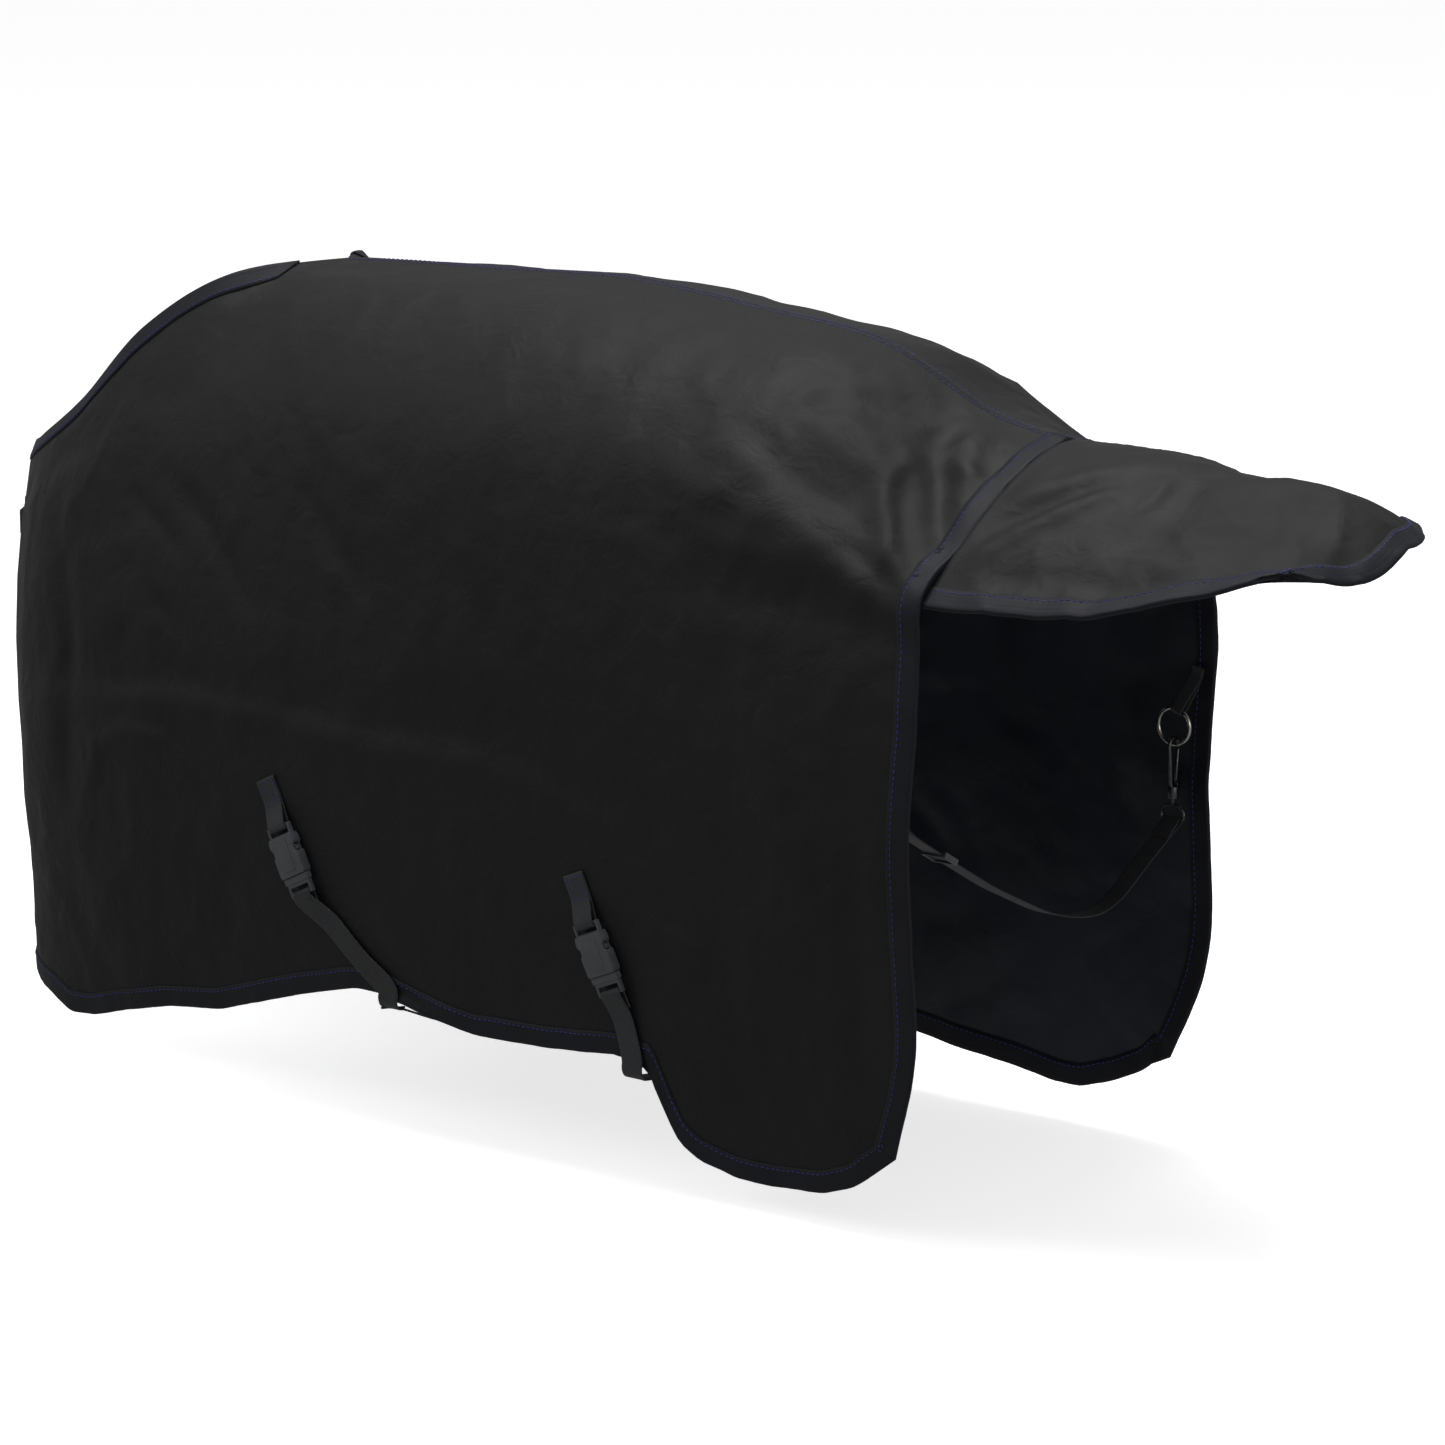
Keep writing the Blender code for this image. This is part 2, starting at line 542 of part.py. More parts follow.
def belly_strap(word, sides, start, up, path, masters):
    """One belly strap: tab, buckle, long strap under the belly and the patch on the far side."""
    tree_l, tree_r = sides[0][0], sides[1][0]
    origin, normal = on_wall(tree_l, -1, start[0], start[1], BUCKLE_OFF)
    frame = buckle_frame(origin, up, normal)
    buckle(word + "_buckle", frame, masters)

    def wall(run, off):
        spot = frame @ Vector((0.0, run, 0.0))
        return on_wall(tree_l, -1, spot.x, spot.z, off)[0]

    sewn_tab(word + "_tab", frame, wall, WEB_W)
    points = [frame @ Vector((0.0, y, z)) for y, z in LOOP_LOW]
    outs = [None] * len(points)
    for x, z, off in path["near"]:
        point, n = on_wall(tree_l, -1, x, z, off)
        points.append(point)
        outs.append(n)
    crossing = hem_crossing(sides[0], path["cross"][0], True)
    crossing += [(Vector(p), Vector((0, 0, -1))) for p in path["under"]]
    crossing += hem_crossing(sides[1], path["cross"][1], False)
    for point, out in crossing:
        points.append(point)
        outs.append(out.normalized())
    for x, z in path["far"]:
        point, n = on_wall(tree_r, 1, x, z, OUTER_T + 0.0010 + WEB_T / 2)
        points.append(point)
        outs.append(n)
    x_dir = frame.to_3x3() @ Vector((1, 0, 0))
    widths = []
    for k, out in enumerate(outs):
        if out is None:
            widths.append(x_dir)
            continue
        run = points[min(k + 1, len(points) - 1)] - points[k - 1]
        w = out.cross(run).normalized()
        if widths and w.dot(widths[-1]) < 0:
            w.negate()
        widths.append(w)
    ribbon(word + "_strap", points, widths, WEB_W, WEB_T)
    end, before = points[-1], points[-3]
    mid = end.lerp(before, 0.45)
    n = outs[-1]
    up_dir = (end - before).normalized()
    spin = buckle_frame(mid + n * (WEB_T / 2 + GAP + 0.0012), up_dir, n)
    patch = block(word + "_far_patch", (-0.030, -0.030, 0.0), (0.030, 0.030, 0.0014))
    patch.data.transform(spin)


def chest_strap(word, trees, height, lift, masters):
    """One chest strap: tab on the left edge, buckle at the middle, sewn strap on the right."""
    tree_l, tree_r = trees
    face = on_chest(tree_l, -0.012, height, 0.0)[0]
    origin = Vector((face.x - 0.0155, 0.0, height))
    frame = buckle_frame(origin, Vector((0, -1, 0)), Vector((-1, 0, 0)))
    buckle(word + "_buckle", frame, masters)
    low_ply = OUTER_T + 0.0010 + WEB_T / 2 + lift

    def wall(run, off):
        return on_chest(tree_l, -run - 0.012, height, off + lift)[0]

    sewn_tab(word + "_tab", frame, wall, WEB_W)
    points = [frame @ Vector((0.0, y, z)) for y, z in LOOP_LOW]
    points += [on_chest(tree_r, y, height, low_ply)[0] for y in (0.075, 0.092, 0.110, 0.130, 0.150)]
    x_dir = frame.to_3x3() @ Vector((1, 0, 0))
    ribbon(word + "_strap", points, [x_dir] * len(points), WEB_W, WEB_T)


# Tail flap
FLAP_ROWS = [0.0, 0.15, 0.31, 0.47, 0.63, 0.78, 0.90, 1.0]
FLAP_COLS = [-1.0, -0.75, -0.5, -0.25, 0.0, 0.25, 0.5, 0.75, 1.0]
FLAP_CROWN = [(0.0, 0.8335), (0.05, 0.8325), (0.13, 0.831), (0.17, 0.827), (0.20, 0.819),
              (0.29, 0.817), (0.37, 0.809), (0.40, 0.799), (0.425, 0.783), (0.45, 0.762)]
FLAP_DROP = [(0.0, 0.143), (0.15, 0.138), (0.25, 0.115), (0.33, 0.096), (0.39, 0.073), (0.45, 0.055)]


def rising(table, x):
    for (x0, v0), (x1, v1) in zip(table, table[1:]):
        if x <= x1:
            return v0 + (v1 - v0) * max((x - x0) / (x1 - x0), 0.0)
    return table[-1][1]


def flap_half(s):
    """Half the flap's width at a share s of its length."""
    return 0.262 * (1 - 0.44 * min(s, 1.0) ** 2.8)


def flap_point(x, y):
    """Point of the flap's middle surface over (x, y)."""
    s = max((x - FLAP_ROOT) / 0.440, 0.0)
    t = min(abs(y) / flap_half(s), 1.15)
    z = rising(FLAP_CROWN, x) - rising(FLAP_DROP, x) * t ** (1.7 - 0.4 * s)
    return Vector((x, y, z))


def flap_outline():
    """Plan outline of the flap from the left root round the tip to the right root."""
    ids = [(s, -1.0) for s in FLAP_ROWS] + [(1.0, t) for t in FLAP_COLS[1:-1]]
    ids += [(s, 1.0) for s in reversed(FLAP_ROWS)]
    plan = []
    for s, t in ids:
        reach = 0.440 - 0.085 * abs(t) ** 2.6 - 0.030 * s * t
        plan.append(Vector((FLAP_ROOT + s * reach, t * flap_half(s), 0.0)))
    return plan


def flap_net():
    """Vertices, triangles and rim of the flap, with the outline first and its inner line next."""
    plan = flap_outline()
    count = len(plan)
    inner = []
    for k, p in enumerate(plan):
        run = (plan[min(k + 1, count - 1)] - plan[max(k - 1, 0)]).normalized()
        inward = Vector((-run.y, run.x, 0.0))
        if k in (0, count - 1):
            inward = Vector((0.0, 1.0 if k == 0 else -1.0, 0.0))
        inner.append(p + inward * BIND_W)
    verts = [flap_point(p.x, p.y) for p in plan + inner]
    tris = []
    for k in range(count - 1):
        tris += [(k, k + 1, count + k), (k + 1, count + k + 1, count + k)]
    rows = len(FLAP_ROWS)
    cols = len(FLAP_COLS)
    grid = []
    for i in range(rows):
        left = count + i
        right = 2 * count - 1 - i
        if i == rows - 1:
            grid.append([left + j for j in range(cols)])
            continue
        line = [left]
        for j in range(1, cols - 1):
            spot = inner[i].lerp(inner[count - 1 - i], j / (cols - 1))
            line.append(len(verts))
            verts.append(flap_point(spot.x, spot.y))
        grid.append(line + [right])
    for i in range(rows - 1):
        for j in range(cols - 1):
            a, b, c, d = grid[i][j], grid[i + 1][j], grid[i + 1][j + 1], grid[i][j + 1]
            tris += [(a, b, c), (a, c, d)]
    rim = list(range(count)) + list(reversed(grid[0]))
    return verts, tris, rim, count


def net_normals(verts, tris):
    """Area-weighted normals of a net, turned upward."""
    normals = [Vector((0, 0, 0)) for _ in verts]
    for a, b, c in tris:
        n = (verts[b] - verts[a]).cross(verts[c] - verts[a])
        n = n if n.z > 0 else -n
        for k in (a, b, c):
            normals[k] += n
    return [n.normalized() for n in normals]


def net_layer(name, verts, normals, tris, rim, low, high):
    """One cloth layer of a net between two offsets along its normals."""
    size = len(verts)
    points = [v + n * low for v, n in zip(verts, normals)]
    points += [v + n * high for v, n in zip(verts, normals)]
    faces = []
    for tri in tris:
        faces.append(list(tri))
        faces.append([size + k for k in reversed(tri)])
    for p, q in zip(rim, rim[1:] + rim[:1]):
        faces.append([p, q, size + q, size + p])
    return new_object(name, points, faces)


def tail_flap():
    """Outer cloth, lining and binding of the flap over the tail."""
    verts, tris, rim, count = flap_net()
    normals = net_normals(verts, tris)
    made = [
        net_layer("tail_flap_outer", verts, normals, tris, rim, 0.00015, 0.00015 + OUTER_T),
        net_layer("tail_flap_lining", verts, normals, tris, rim, -0.00015 - LINING_T, -0.00015),
    ]
    grid = [verts[:count], verts[count:2 * count]]
    both = [normals[:count], normals[count:2 * count]]
    pairs = [((0, k), (1, k)) for k in range(count)]
    flags = [True] * (count - 1)
    made.append(binding("tail_flap_binding", grid, both, pairs, flags, lift=0.0002))
    for obj in made:
        pivoted(obj, FLAP_HINGE)


FLAP_HINGE = Vector((0.0, 0.0, 0.690))
RING_CENTRE = Vector((-0.031, 0.262, 0.4638))
RING_UP = math.radians(74)


def tail_ring():
    """The ring, and the doubled tab that holds it to the far panel."""
    count = 28
    points = [RING_CENTRE + Vector((math.cos(a), 0, math.sin(a))) * RING_R
              for a in (2 * math.pi * k / count for k in range(count))]
    ring = tube("tail_ring", points, RING_WIRE, 8, closed=True, side_hint=Vector((0, 1, 0)))
    out = Vector((math.cos(RING_UP), 0, math.sin(RING_UP)))
    pivoted(ring, RING_CENTRE + out * RING_R)
    return out


def ring_tab(tree, out):
    across = Vector((-math.sin(RING_UP), 0, math.cos(RING_UP)))

    def wall(run, off):
        spot = RING_CENTRE + out * run
        return on_wall(tree, 1, spot.x, spot.z, -off)[0]

    wire = RING_CENTRE + out * RING_R
    turn = RING_WIRE + 0.0020 + WEB_T / 2
    low = LINING_T + 0.0031 + WEB_T / 2
    points = [wall(RING_R + 0.050, low + WEB_T + GAP), wall(RING_R + 0.036, low + WEB_T + GAP)]
    for deg in (-55, -90, -125, -160, 165, 130, 95):
        a = math.radians(deg)
        points.append(wire + out * (math.cos(a) * turn) + Vector((0, 1, 0)) * (math.sin(a) * turn))
    points += [wall(RING_R + 0.030, low), wall(RING_R + 0.050, low)]
    ribbon("ring_tab", points, [across] * len(points), 0.016, WEB_T)


HOOK_TOP = RING_CENTRE.z - RING_R + RING_WIRE + 0.0030 + 0.0023
HOOK_R = 0.0092
HOOK_Y = RING_CENTRE.y
HOOK_X = RING_CENTRE.x
KNUCKLE = (0.3790, 0.3930)
EYE_BAR = 0.3535


def snap_hook():
    """Hook with its knuckle, the gate and the swivel eye."""
    centre = Vector((HOOK_X, HOOK_Y, HOOK_TOP - HOOK_R))
    points = [Vector((HOOK_X, HOOK_Y - 0.0025, KNUCKLE[1] - 0.003)),
              Vector((HOOK_X, HOOK_Y - 0.0050, KNUCKLE[1] + 0.004)),
              Vector((HOOK_X, HOOK_Y - 0.0082, centre.z - 0.012))]
    for deg in (180, 157, 135, 112, 90, 68, 45, 22, 0, -20):
        a = math.radians(deg)
        points.append(centre + Vector((0, math.cos(a) * HOOK_R, math.sin(a) * HOOK_R)))
    arm = tube("hook_arm", points, 0.0023, 8, side_hint=Vector((1, 0, 0)))
    knuckle = cylinder("snap_hook", 0.0062, KNUCKLE[0], KNUCKLE[1], 16)
    cheeks = [block("cheek", (x, 0.0012, KNUCKLE[1] - 0.004), (x + 0.0022, 0.0068, KNUCKLE[1] + 0.005))
              for x in (-0.0049, 0.0027)]
    for cheek in cheeks:
        cheek.data.transform(Matrix.Translation((HOOK_X, HOOK_Y, 0)))
    combine(knuckle, [arm] + cheeks, "UNION")
    neck = cylinder("neck", 0.0024, KNUCKLE[0] - 0.002, KNUCKLE[0] + 0.004, 16)
    seat = cylinder("seat", 0.0037, KNUCKLE[0] + 0.0022, KNUCKLE[0] + 0.0078, 16)
    combine(knuckle, [neck, seat], "DIFFERENCE")
    pivoted(knuckle, Vector((HOOK_X, HOOK_Y, KNUCKLE[0])))
    low = Vector((HOOK_X, HOOK_Y + 0.0046, KNUCKLE[1] + 0.0032))
    tip = centre + Vector((0, math.cos(math.radians(-20)), math.sin(math.radians(-20)))) * HOOK_R
    top = Vector((HOOK_X, tip.y - 0.0002, tip.z - 0.0016))
    gate = tube("snap_hook_gate", [low, low.lerp(top, 0.5), top], 0.0021, 8)
    knob = cylinder("knob", 0.0017, 0.0, 0.0075, 10)
    knob.data.transform(Matrix.Translation((-HOOK_X, -HOOK_Y, 0)))
    turn = Matrix.Rotation(math.radians(-90), 4, "X")
    knob.data.transform(Matrix.Translation(low.lerp(top, 0.28)) @ turn)
    combine(gate, [knob], "UNION")
    pivoted(gate, low)
    half = 0.0152
    bar = Vector((HOOK_X, HOOK_Y, EYE_BAR))
    top_z = 0.0165
    loop = [(-half, 0.003), (-half + 0.003, 0), (half - 0.003, 0), (half, 0.003),
            (half, 0.010), (half - 0.006, top_z), (0.0, top_z + 0.0012), (-half + 0.006, top_z),
            (-half, 0.010)]
    eye = tube("snap_hook_eye", [bar + Vector((x, 0, z)) for x, z in loop], 0.0019, 8, closed=True,
               side_hint=Vector((0, 1, 0)))
    post = cylinder("post", 0.0019, EYE_BAR + top_z, KNUCKLE[0] + 0.0045, 12)
    head = cylinder("head", 0.0032, KNUCKLE[0] + 0.0027, KNUCKLE[0] + 0.0060, 12)
    combine(eye, [post, head], "UNION")


def cylinder(name, radius, low, high, sides):
    """An upright cylinder on the hook's axis."""
    ring = [(HOOK_X + radius * math.cos(2 * math.pi * k / sides),
             HOOK_Y + radius * math.sin(2 * math.pi * k / sides)) for k in range(sides)]
    return prism(name, ring, low, high)


SLIDE_FROM = Vector((-0.030, -0.233, 0.4215))
SLIDE_TO = Vector((-0.030, -0.118, 0.3550))


def tail_strap(tree):
    """The tail strap with its inside patch."""
    low = LINING_T + 0.0019 + WEB_T / 2
    points = [on_wall(tree, -1, -0.046, z, -low)[0] for z in (0.525, 0.505, 0.485)]
    points += [Vector((-0.037, -0.2720, 0.4610)), Vector((-0.030, -0.2560, 0.4385)), SLIDE_FROM,
               SLIDE_TO]
    points += [Vector(p) for p in [(-0.030, -0.080, 0.3350), (-0.030, -0.040, 0.3160),
                                   (-0.030, 0.000, 0.2975), (-0.030, 0.040, 0.2840),
                                   (-0.030, 0.080, 0.2760), (-0.030, 0.113, 0.2755),
                                   (-0.030, 0.145, 0.2845), (-0.030, 0.180, 0.3040),
                                   (-0.0305, 0.212, 0.3230)]]
    bar = Vector((HOOK_X, HOOK_Y, EYE_BAR))
    turn = 0.0019 + 0.0007 + WEB_T / 2
    pull = Vector((0, -0.84, -0.54)).normalized()
    side = Vector((0, 0.54, -0.84)).normalized()
    for deg in (75, 40, 0, -40, -75):
        a = math.radians(deg)
        points.append(bar - pull * (math.cos(a) * turn) + side * (math.sin(a) * turn))
    points.append(bar + pull * 0.012 - side * 0.0022)
    points.append(bar + pull * 0.030 - side * 0.0008)
    ribbon("tail_strap", points, [Vector((1, 0, 0))] * len(points), TAIL_WEB_W, WEB_T)
    patch_mid, n = on_wall(tree, -1, -0.046, 0.512, -low - WEB_T / 2 - 0.0012)
    patch = block("tail_strap_patch", (-0.020, -0.018, 0.0), (0.020, 0.018, 0.0014))
    patch.data.transform(buckle_frame(patch_mid, Vector((0, 0, 1)), -n))


def slider():
    """Slider on the tail strap: end bars under the webbing, middle bar over it."""
    run = (SLIDE_TO - SLIDE_FROM).normalized()
    base = block("tail_strap_slider", (-0.0165, -0.013, -0.0035), (-0.0135, 0.013, 0.0035))
    others = [
        block("rail", (0.0135, -0.013, -0.0035), (0.0165, 0.013, 0.0035)),
        block("end_a", (-0.015, -0.013, -0.0035), (0.015, -0.0105, -0.0013)),
        block("end_b", (-0.015, 0.0105, -0.0035), (0.015, 0.013, -0.0013)),
        block("middle", (-0.015, -0.0015, 0.0013), (0.015, 0.0015, 0.0035)),
    ]
    combine(base, others, "UNION")
    middle = SLIDE_FROM.lerp(SLIDE_TO, 0.42)
    up = Vector((1, 0, 0)).cross(run)
    if up.z < 0:
        up.negate()
    base.data.transform(buckle_frame(middle, run, up))
    pivoted(base, middle)


MATERIALS = {
    "outer_cloth": ((0.030, 0.031, 0.034), 0.70, 0.0),
    "lining_cloth": ((0.012, 0.014, 0.024), 0.85, 0.0),
    "binding_tape": ((0.022, 0.023, 0.038), 0.75, 0.0),
    "webbing": ((0.045, 0.046, 0.048), 0.80, 0.0),
    "buckle_plastic": ((0.055, 0.058, 0.060), 0.45, 0.0),
    "nickel_plate": ((0.62, 0.61, 0.57), 0.22, 1.0),
}


def slot_of(name):
    """The material slot of a node, from its name."""
    if "buckle" in name or name == "tail_strap_slider":
        return "buckle_plastic"
    if name in ("tail_ring",) or name.startswith("snap_hook"):
        return "nickel_plate"
    if "binding" in name:
        return "binding_tape"
    if "lining" in name:
        return "lining_cloth"
    if "strap" in name and "patch" not in name or name.endswith("_tab"):
        return "webbing"
    return "outer_cloth"


def dress():
    """Gives every node its material and hangs it under the root."""
    made = {}
    for slot, (colour, rough, metal) in MATERIALS.items():
        mat = bpy.data.materials.new(slot)
        mat.use_nodes = True
        shader = mat.node_tree.nodes["Principled BSDF"]
        shader.inputs["Base Color"].default_value = (*colour, 1.0)
        shader.inputs["Roughness"].default_value = rough
        shader.inputs["Metallic"].default_value = metal
        made[slot] = mat
    root = bpy.data.objects.new("turnout_rug", None)
    bpy.context.scene.collection.objects.link(root)
    root.location = -ORIGIN
    for obj in list(bpy.data.objects):
        if obj.type != "MESH":
            continue
        obj.data.materials.clear()
        obj.data.materials.append(made[slot_of(obj.name)])
        obj.parent = root


FRONT_PATH = {
    "near": [(-0.842, 0.212, 0.0062), (-0.818, 0.190, 0.0055), (-0.790, 0.167, 0.0060)],
    "cross": (-0.757, -0.667),
    "under": [(-0.738, -0.200, 0.0900), (-0.718, -0.120, 0.0760), (-0.698, 0.0, 0.0700),
              (-0.684, 0.120, 0.0760), (-0.674, 0.200, 0.0860)],
    "far": [(-0.663, 0.160), (-0.659, 0.195), (-0.655, 0.235), (-0.651, 0.270)],
}
REAR_PATH = {
    "near": [(-0.397, 0.170, 0.0062)],
    "cross": (-0.388, -0.530),
    "under": [(-0.400, -0.200, 0.0860), (-0.420, -0.120, 0.0740), (-0.445, 0.0, 0.0660),
              (-0.480, 0.120, 0.0620), (-0.510, 0.200, 0.0640)],
    "far": [(-0.536, 0.125), (-0.540, 0.165), (-0.545, 0.210), (-0.550, 0.250)],
}


def main():
    for obj in list(bpy.data.objects):
        bpy.data.objects.remove(obj)
    sides = (side_cloth(-1, "left"), side_cloth(1, "right"))
    tree_l, tree_r = sides[0][0], sides[1][0]
    tail_flap()
    masters = (socket_master(), plug_master(), prong_master(-1), prong_master(1))
    belly_strap("front_belly", sides, (-0.893, 0.277), Vector((-0.43, 0, 0.90)), FRONT_PATH, masters)
    belly_strap("rear_belly", sides, (-0.421, 0.236), Vector((-0.38, 0, 0.925)), REAR_PATH, masters)
    chest_strap("upper_chest", (tree_l, tree_r), 0.585, 0.0017, masters)
    chest_strap("lower_chest", (tree_l, tree_r), 0.410, 0.0008, masters)
    for master in masters:
        bpy.data.objects.remove(master)
    out = tail_ring()
    ring_tab(tree_r, out)
    snap_hook()
    tail_strap(tree_l)
    slider()
    dress()


main()
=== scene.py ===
"""Turnout rug: cloth, binding tape, webbing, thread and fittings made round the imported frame.

Shapes are laid out in the maker's layout (x = 0 at the rear edge, z = 0 at the hem's rear lobe)
and moved by ORIGIN into the row frame, in metres. The rear opening faces +X, the left is -Y.
"""

import json
import logging
import math
from dataclasses import dataclass, field
from enum import Enum
from typing import Any, Callable, Sequence

import bmesh
import bpy
import numpy as np
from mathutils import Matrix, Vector, noise
from mathutils.bvhtree import BVHTree

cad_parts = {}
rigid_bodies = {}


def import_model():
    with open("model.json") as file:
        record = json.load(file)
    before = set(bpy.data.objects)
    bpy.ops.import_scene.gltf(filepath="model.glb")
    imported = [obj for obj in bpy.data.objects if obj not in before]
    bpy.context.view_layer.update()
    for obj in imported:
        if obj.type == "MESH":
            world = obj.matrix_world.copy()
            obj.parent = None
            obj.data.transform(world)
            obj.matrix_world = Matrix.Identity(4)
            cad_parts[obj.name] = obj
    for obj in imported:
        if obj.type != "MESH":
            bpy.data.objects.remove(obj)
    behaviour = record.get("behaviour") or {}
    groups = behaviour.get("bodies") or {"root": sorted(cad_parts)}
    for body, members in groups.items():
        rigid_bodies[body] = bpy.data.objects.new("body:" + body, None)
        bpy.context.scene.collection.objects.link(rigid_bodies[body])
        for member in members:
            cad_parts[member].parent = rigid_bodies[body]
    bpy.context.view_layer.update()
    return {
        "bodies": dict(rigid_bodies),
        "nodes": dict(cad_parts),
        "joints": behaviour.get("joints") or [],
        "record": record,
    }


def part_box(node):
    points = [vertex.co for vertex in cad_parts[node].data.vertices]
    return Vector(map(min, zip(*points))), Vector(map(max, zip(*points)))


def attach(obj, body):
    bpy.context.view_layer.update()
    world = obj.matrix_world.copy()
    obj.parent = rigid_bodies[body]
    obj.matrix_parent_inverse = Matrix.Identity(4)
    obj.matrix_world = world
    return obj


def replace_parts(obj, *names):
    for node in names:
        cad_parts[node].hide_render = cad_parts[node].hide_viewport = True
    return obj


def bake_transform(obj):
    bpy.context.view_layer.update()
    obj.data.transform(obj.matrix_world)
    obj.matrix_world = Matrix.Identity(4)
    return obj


LOG = logging.getLogger("turnout_rug")
ORIGIN = Vector((-0.62, 0.0, 0.95465))
OUTER_T = 0.0012
LINING_T = 0.0020
TAPE_W = 0.024
TAPE_T = 0.0012
WEB_T = 0.0016
FLAP_ROOT = 0.0042
ROOF_STATIONS = 7  # the top edge is the back seam up to this station, then the neckline
NECK_TAPE_START = 0.42  # stations past the seam at which the neck tape begins
HALF_GAP = 0.00015  # the cloth and its lining each stand this far off their shared middle


# Each station runs from the top edge down one side: (x, distance from the middle plane, z)
STATIONS = np.array([
    [(0, 0, 0.836), (0, 0.09, 0.806), (0, 0.185, 0.749), (0, 0.262, 0.695), (0.008, 0.284, 0.57),
     (0, 0.287, 0.42), (0.006, 0.279, 0.20), (-0.035, 0.262, 0.068)],
    [(-0.10, 0, 0.855), (-0.10, 0.10, 0.828), (-0.10, 0.195, 0.780), (-0.10, 0.262, 0.728),
     (-0.10, 0.290, 0.60), (-0.10, 0.295, 0.43), (-0.10, 0.280, 0.20), (-0.118, 0.257, 0.0)],
    [(-0.25, 0, 0.919), (-0.25, 0.11, 0.897), (-0.25, 0.205, 0.845), (-0.25, 0.268, 0.77),
     (-0.25, 0.294, 0.61), (-0.25, 0.298, 0.43), (-0.25, 0.283, 0.20), (-0.25, 0.258, 0.0)],
    [(-0.42, 0, 0.940), (-0.42, 0.115, 0.918), (-0.42, 0.21, 0.862), (-0.42, 0.270, 0.78),
     (-0.42, 0.295, 0.62), (-0.42, 0.300, 0.43), (-0.42, 0.285, 0.20), (-0.42, 0.258, 0.0)],
    [(-0.62, 0, 0.957), (-0.62, 0.115, 0.935), (-0.62, 0.21, 0.876), (-0.62, 0.268, 0.79),
     (-0.62, 0.293, 0.62), (-0.62, 0.298, 0.43), (-0.62, 0.284, 0.20), (-0.62, 0.256, 0.0)],
    [(-0.82, 0, 0.951), (-0.82, 0.11, 0.930), (-0.82, 0.20, 0.872), (-0.82, 0.258, 0.785),
     (-0.82, 0.286, 0.62), (-0.82, 0.294, 0.43), (-0.82, 0.282, 0.20), (-0.82, 0.255, 0.0)],
    [(-0.97, 0, 0.946), (-0.97, 0.10, 0.925), (-0.97, 0.185, 0.865), (-0.97, 0.245, 0.775),
     (-0.97, 0.278, 0.61), (-0.97, 0.288, 0.43), (-0.97, 0.278, 0.20), (-0.97, 0.253, 0.0)],
    [(-1.06, 0, 0.941), (-1.06, 0.095, 0.918), (-1.065, 0.175, 0.858), (-1.07, 0.236, 0.765),
     (-1.075, 0.272, 0.605), (-1.08, 0.283, 0.43), (-1.08, 0.274, 0.20), (-1.08, 0.250, 0.0)],
    [(-1.145, 0.115, 0.925), (-1.15, 0.165, 0.872), (-1.16, 0.207, 0.803), (-1.17, 0.240, 0.72),
     (-1.18, 0.266, 0.58), (-1.18, 0.276, 0.42), (-1.18, 0.268, 0.20), (-1.18, 0.245, 0.0)],
    [(-1.240, 0.165, 0.860), (-1.243, 0.195, 0.806), (-1.25, 0.22, 0.745), (-1.26, 0.240, 0.68),
     (-1.27, 0.257, 0.56), (-1.275, 0.265, 0.41), (-1.27, 0.256, 0.20), (-1.27, 0.235, 0.0)],
    [(-1.335, 0.176, 0.765), (-1.342, 0.192, 0.735), (-1.35, 0.206, 0.69), (-1.36, 0.220, 0.64),
     (-1.37, 0.232, 0.54), (-1.375, 0.236, 0.40), (-1.37, 0.228, 0.20), (-1.367, 0.221, 0.0)],
    [(-1.435, 0.145, 0.706), (-1.44, 0.156, 0.685), (-1.445, 0.165, 0.655), (-1.45, 0.173, 0.61),
     (-1.455, 0.180, 0.53), (-1.457, 0.182, 0.40), (-1.445, 0.178, 0.20), (-1.443, 0.174, 0.0)],
    [(-1.515, 0.08, 0.680), (-1.518, 0.084, 0.665), (-1.52, 0.087, 0.64), (-1.523, 0.090, 0.60),
     (-1.524, 0.093, 0.52), (-1.52, 0.094, 0.39), (-1.505, 0.092, 0.20), (-1.500, 0.090, 0.0)],
    [(-1.55, 0.010, 0.675), (-1.552, 0.010, 0.66), (-1.553, 0.010, 0.635), (-1.554, 0.010, 0.595),
     (-1.553, 0.010, 0.52), (-1.548, 0.010, 0.385), (-1.53, 0.010, 0.20), (-1.525, 0.010, 0.0)],
])

